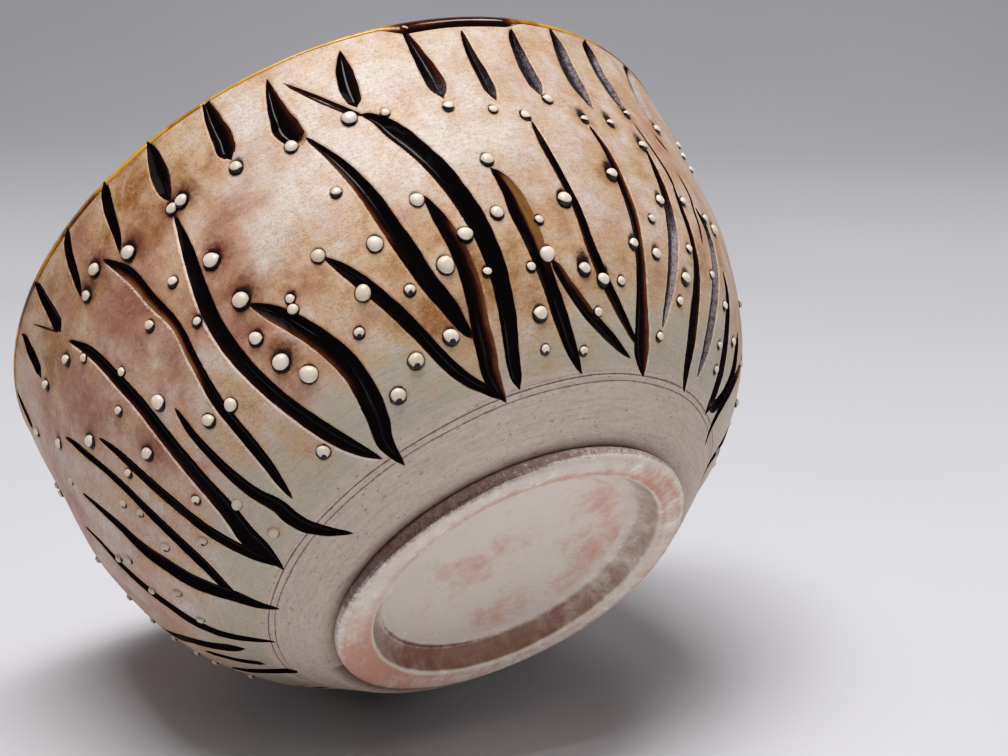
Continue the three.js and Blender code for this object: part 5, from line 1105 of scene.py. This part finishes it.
front_v = np.stack([ir * np.cos(A), ir * np.sin(A), iz], -1).reshape(-1, 3)
back_r, back_z = inner[I, 0] + 0.45 * np.minimum(1, inner[I, 0] / 3), inner[I, 1] - 0.45
back_v = np.stack([back_r * np.cos(A), back_r * np.sin(A), back_z], -1).reshape(-1, 3)[::-1].reshape(len(inner), inner_columns, 3)[:, ::-1].reshape(-1, 3)
liner_v = np.r_[back_v, front_v]
q, t = turned_faces(2 * len(inner), inner_columns, close=True, box=(0, 0, 1, 1))
deep = 0.3 + 0.4 * step(reach.max() * 0.55, reach.max() * 0.95, reach) - 1.3 * rings + 0.25 * (1 - step(0, 6, reach))
make("liner", liner_v, q, t, attrs={"deep": np.r_[deep.ravel(), deep.ravel()]}, looks=[LINER], stands_for=["liner_glaze"])

# ---- studio ---------------------------------------------------------------------------
CAM_AT = Vector((0.0, -430.156, -214.245)) * MM
RIGHT, UP, BACK_WAY = Vector((0.88005, 0.21650, -0.42266)), Vector((0.47311, -0.47661, 0.74095)), Vector((-0.04103, -0.85204, -0.52187))
PITCH = math.radians(15)
floor_up = (UP * math.cos(PITCH) + BACK_WAY * math.sin(PITCH)).normalized()
floor_in = (UP * math.sin(PITCH) - BACK_WAY * math.cos(PITCH)).normalized()
floor_right = RIGHT.normalized()
DROP = 0.0432
studio = Matrix((
    (floor_right.x, floor_in.x, floor_up.x, -DROP * floor_up.x),
    (floor_right.y, floor_in.y, floor_up.y, -DROP * floor_up.y),
    (floor_right.z, floor_in.z, floor_up.z, -DROP * floor_up.z),
    (0, 0, 0, 1),
))

# A paper sweep: floor, a wide curve, and a rising back.
sweep = [(-1.6, 0.0), (-0.6, 0.0), (-0.2, 0.0), (0.2, 0.0), (0.6, 0.0), (0.9, 0.0)]
sweep += [(0.9 + 0.8 * math.sin(a), 0.8 - 0.8 * math.cos(a)) for a in np.linspace(0.06, math.pi / 2, 28)]
sweep += [(1.7, 1.4), (1.7, 2.2)]
cols = np.linspace(-2.4, 2.4, 25)
sv = [(x, d, h) for d, h in sweep for x in cols]
sq, st_uv = strip_faces(len(sweep), len(cols))
me = bpy.data.meshes.new("studio_floor")
me.from_pydata(sv, [], [tuple(int(x) for x in f) for f in sq])
for p in me.polygons:
    p.use_smooth = True
floor = bpy.data.objects.new("studio_floor", me)
floor.matrix_world = studio
bpy.context.scene.collection.objects.link(floor)
paper = Look("paper_sweep", Roughness=0.85, Specular_IOR_Level=0.15)
pp = paper.place()
paper.set("Base Color", paper.mix(paper.span(paper.noise(pp, 2.5, 2), 0.3, 0.7), srgb(211, 211, 217), srgb(206, 206, 212)))
# Seen from behind, the sweep is clear.
behind = paper.nodes.new("ShaderNodeNewGeometry")
clear = paper.nodes.new("ShaderNodeBsdfTransparent")
either = paper.nodes.new("ShaderNodeMixShader")
paper.links.new(behind.outputs["Backfacing"], either.inputs[0])
paper.links.new(paper.bsdf.outputs[0], either.inputs[1])
paper.links.new(clear.outputs[0], either.inputs[2])
paper.links.new(either.outputs[0], next(n for n in paper.nodes if n.type == "OUTPUT_MATERIAL").inputs[0])
me.materials.append(paper.mat)


def softbox(name, at, aim, size, power, tint=(1, 1, 1)):
    """An area light placed and aimed in the studio's own axes (right, in, up)."""
    data = bpy.data.lights.new(name, "AREA")
    data.shape = "RECTANGLE"
    data.size, data.size_y = size
    data.energy = power
    data.color = tint
    ob = bpy.data.objects.new(name, data)
    bpy.context.scene.collection.objects.link(ob)
    a, b = studio @ Vector(at), studio @ Vector(aim)
    ob.matrix_world = Matrix.Translation(a) @ (b - a).to_track_quat("-Z", "Y").to_matrix().to_4x4()
    return ob


softbox("key", (-0.1, -0.12, 1.25), (0.0, 0.0, 0.05), (0.74, 0.56), 15.8, (1.0, 0.985, 0.965))
softbox("glint", (-0.05, -0.35, 0.8), (0.0, 0.0, 0.07), (0.5, 0.008), 0.6, (1.0, 0.99, 0.98))
softbox("front_fill", (0.3, -0.75, 0.06), (0.0, 0.0, 0.05), (0.7, 0.1), 0.9, (1.0, 0.99, 0.98))
softbox("left_fill", (-0.55, -0.72, 0.03), (0.0, 0.0, 0.05), (0.3, 0.12), 1.1, (0.98, 0.99, 1.0))
softbox("right_fill", (0.85, -0.3, 0.1), (0.0, 0.0, 0.05), (0.3, 0.2), 0.75, (0.98, 0.99, 1.0))
softbox("lip_light", (0.42, 0.54, 1.2), (0.0, 0.0, 0.12), (0.5, 0.22), 1.8, (1.0, 0.99, 0.98))
softbox("rear_left", (-0.85, 0.4, 0.32), (0.0, 0.0, 0.07), (0.4, 0.3), 0.8, (0.98, 0.99, 1.0))
softbox("rear_right", (0.85, 0.45, 0.32), (0.0, 0.0, 0.07), (0.4, 0.3), 1.2, (0.98, 0.99, 1.0))

world = bpy.data.worlds.new("studio_air")
world.use_nodes = True
world.node_tree.nodes["Background"].inputs[0].default_value = (0.80, 0.81, 0.84, 1)
world.node_tree.nodes["Background"].inputs[1].default_value = 0.045
bpy.context.scene.world = world

cam = bpy.data.cameras.new("camera")
cam.sensor_width = 36.0
cam.sensor_fit = "HORIZONTAL"
cam.lens = 2154.89 * 36.0 / 1008.0
cam.clip_start, cam.clip_end = 0.01, 20.0
camera = bpy.data.objects.new("camera", cam)
camera.matrix_world = Matrix((
    (RIGHT.x, UP.x, BACK_WAY.x, CAM_AT.x),
    (RIGHT.y, UP.y, BACK_WAY.y, CAM_AT.y),
    (RIGHT.z, UP.z, BACK_WAY.z, CAM_AT.z),
    (0, 0, 0, 1),
))
bpy.context.scene.collection.objects.link(camera)
bpy.context.scene.camera = camera
bpy.context.scene.view_settings.view_transform = "Standard"
# A short toe in the print: the deepest shadows close up, everything brighter is left alone.
grade = bpy.context.scene.view_settings
grade.use_curve_mapping = True
toe = grade.curve_mapping.curves[3]
for x, y in ((0.02, 0.009), (0.05, 0.03), (0.1, 0.08), (0.2, 0.188), (0.4, 0.4)):
    toe.points.new(x, y)
grade.curve_mapping.update()

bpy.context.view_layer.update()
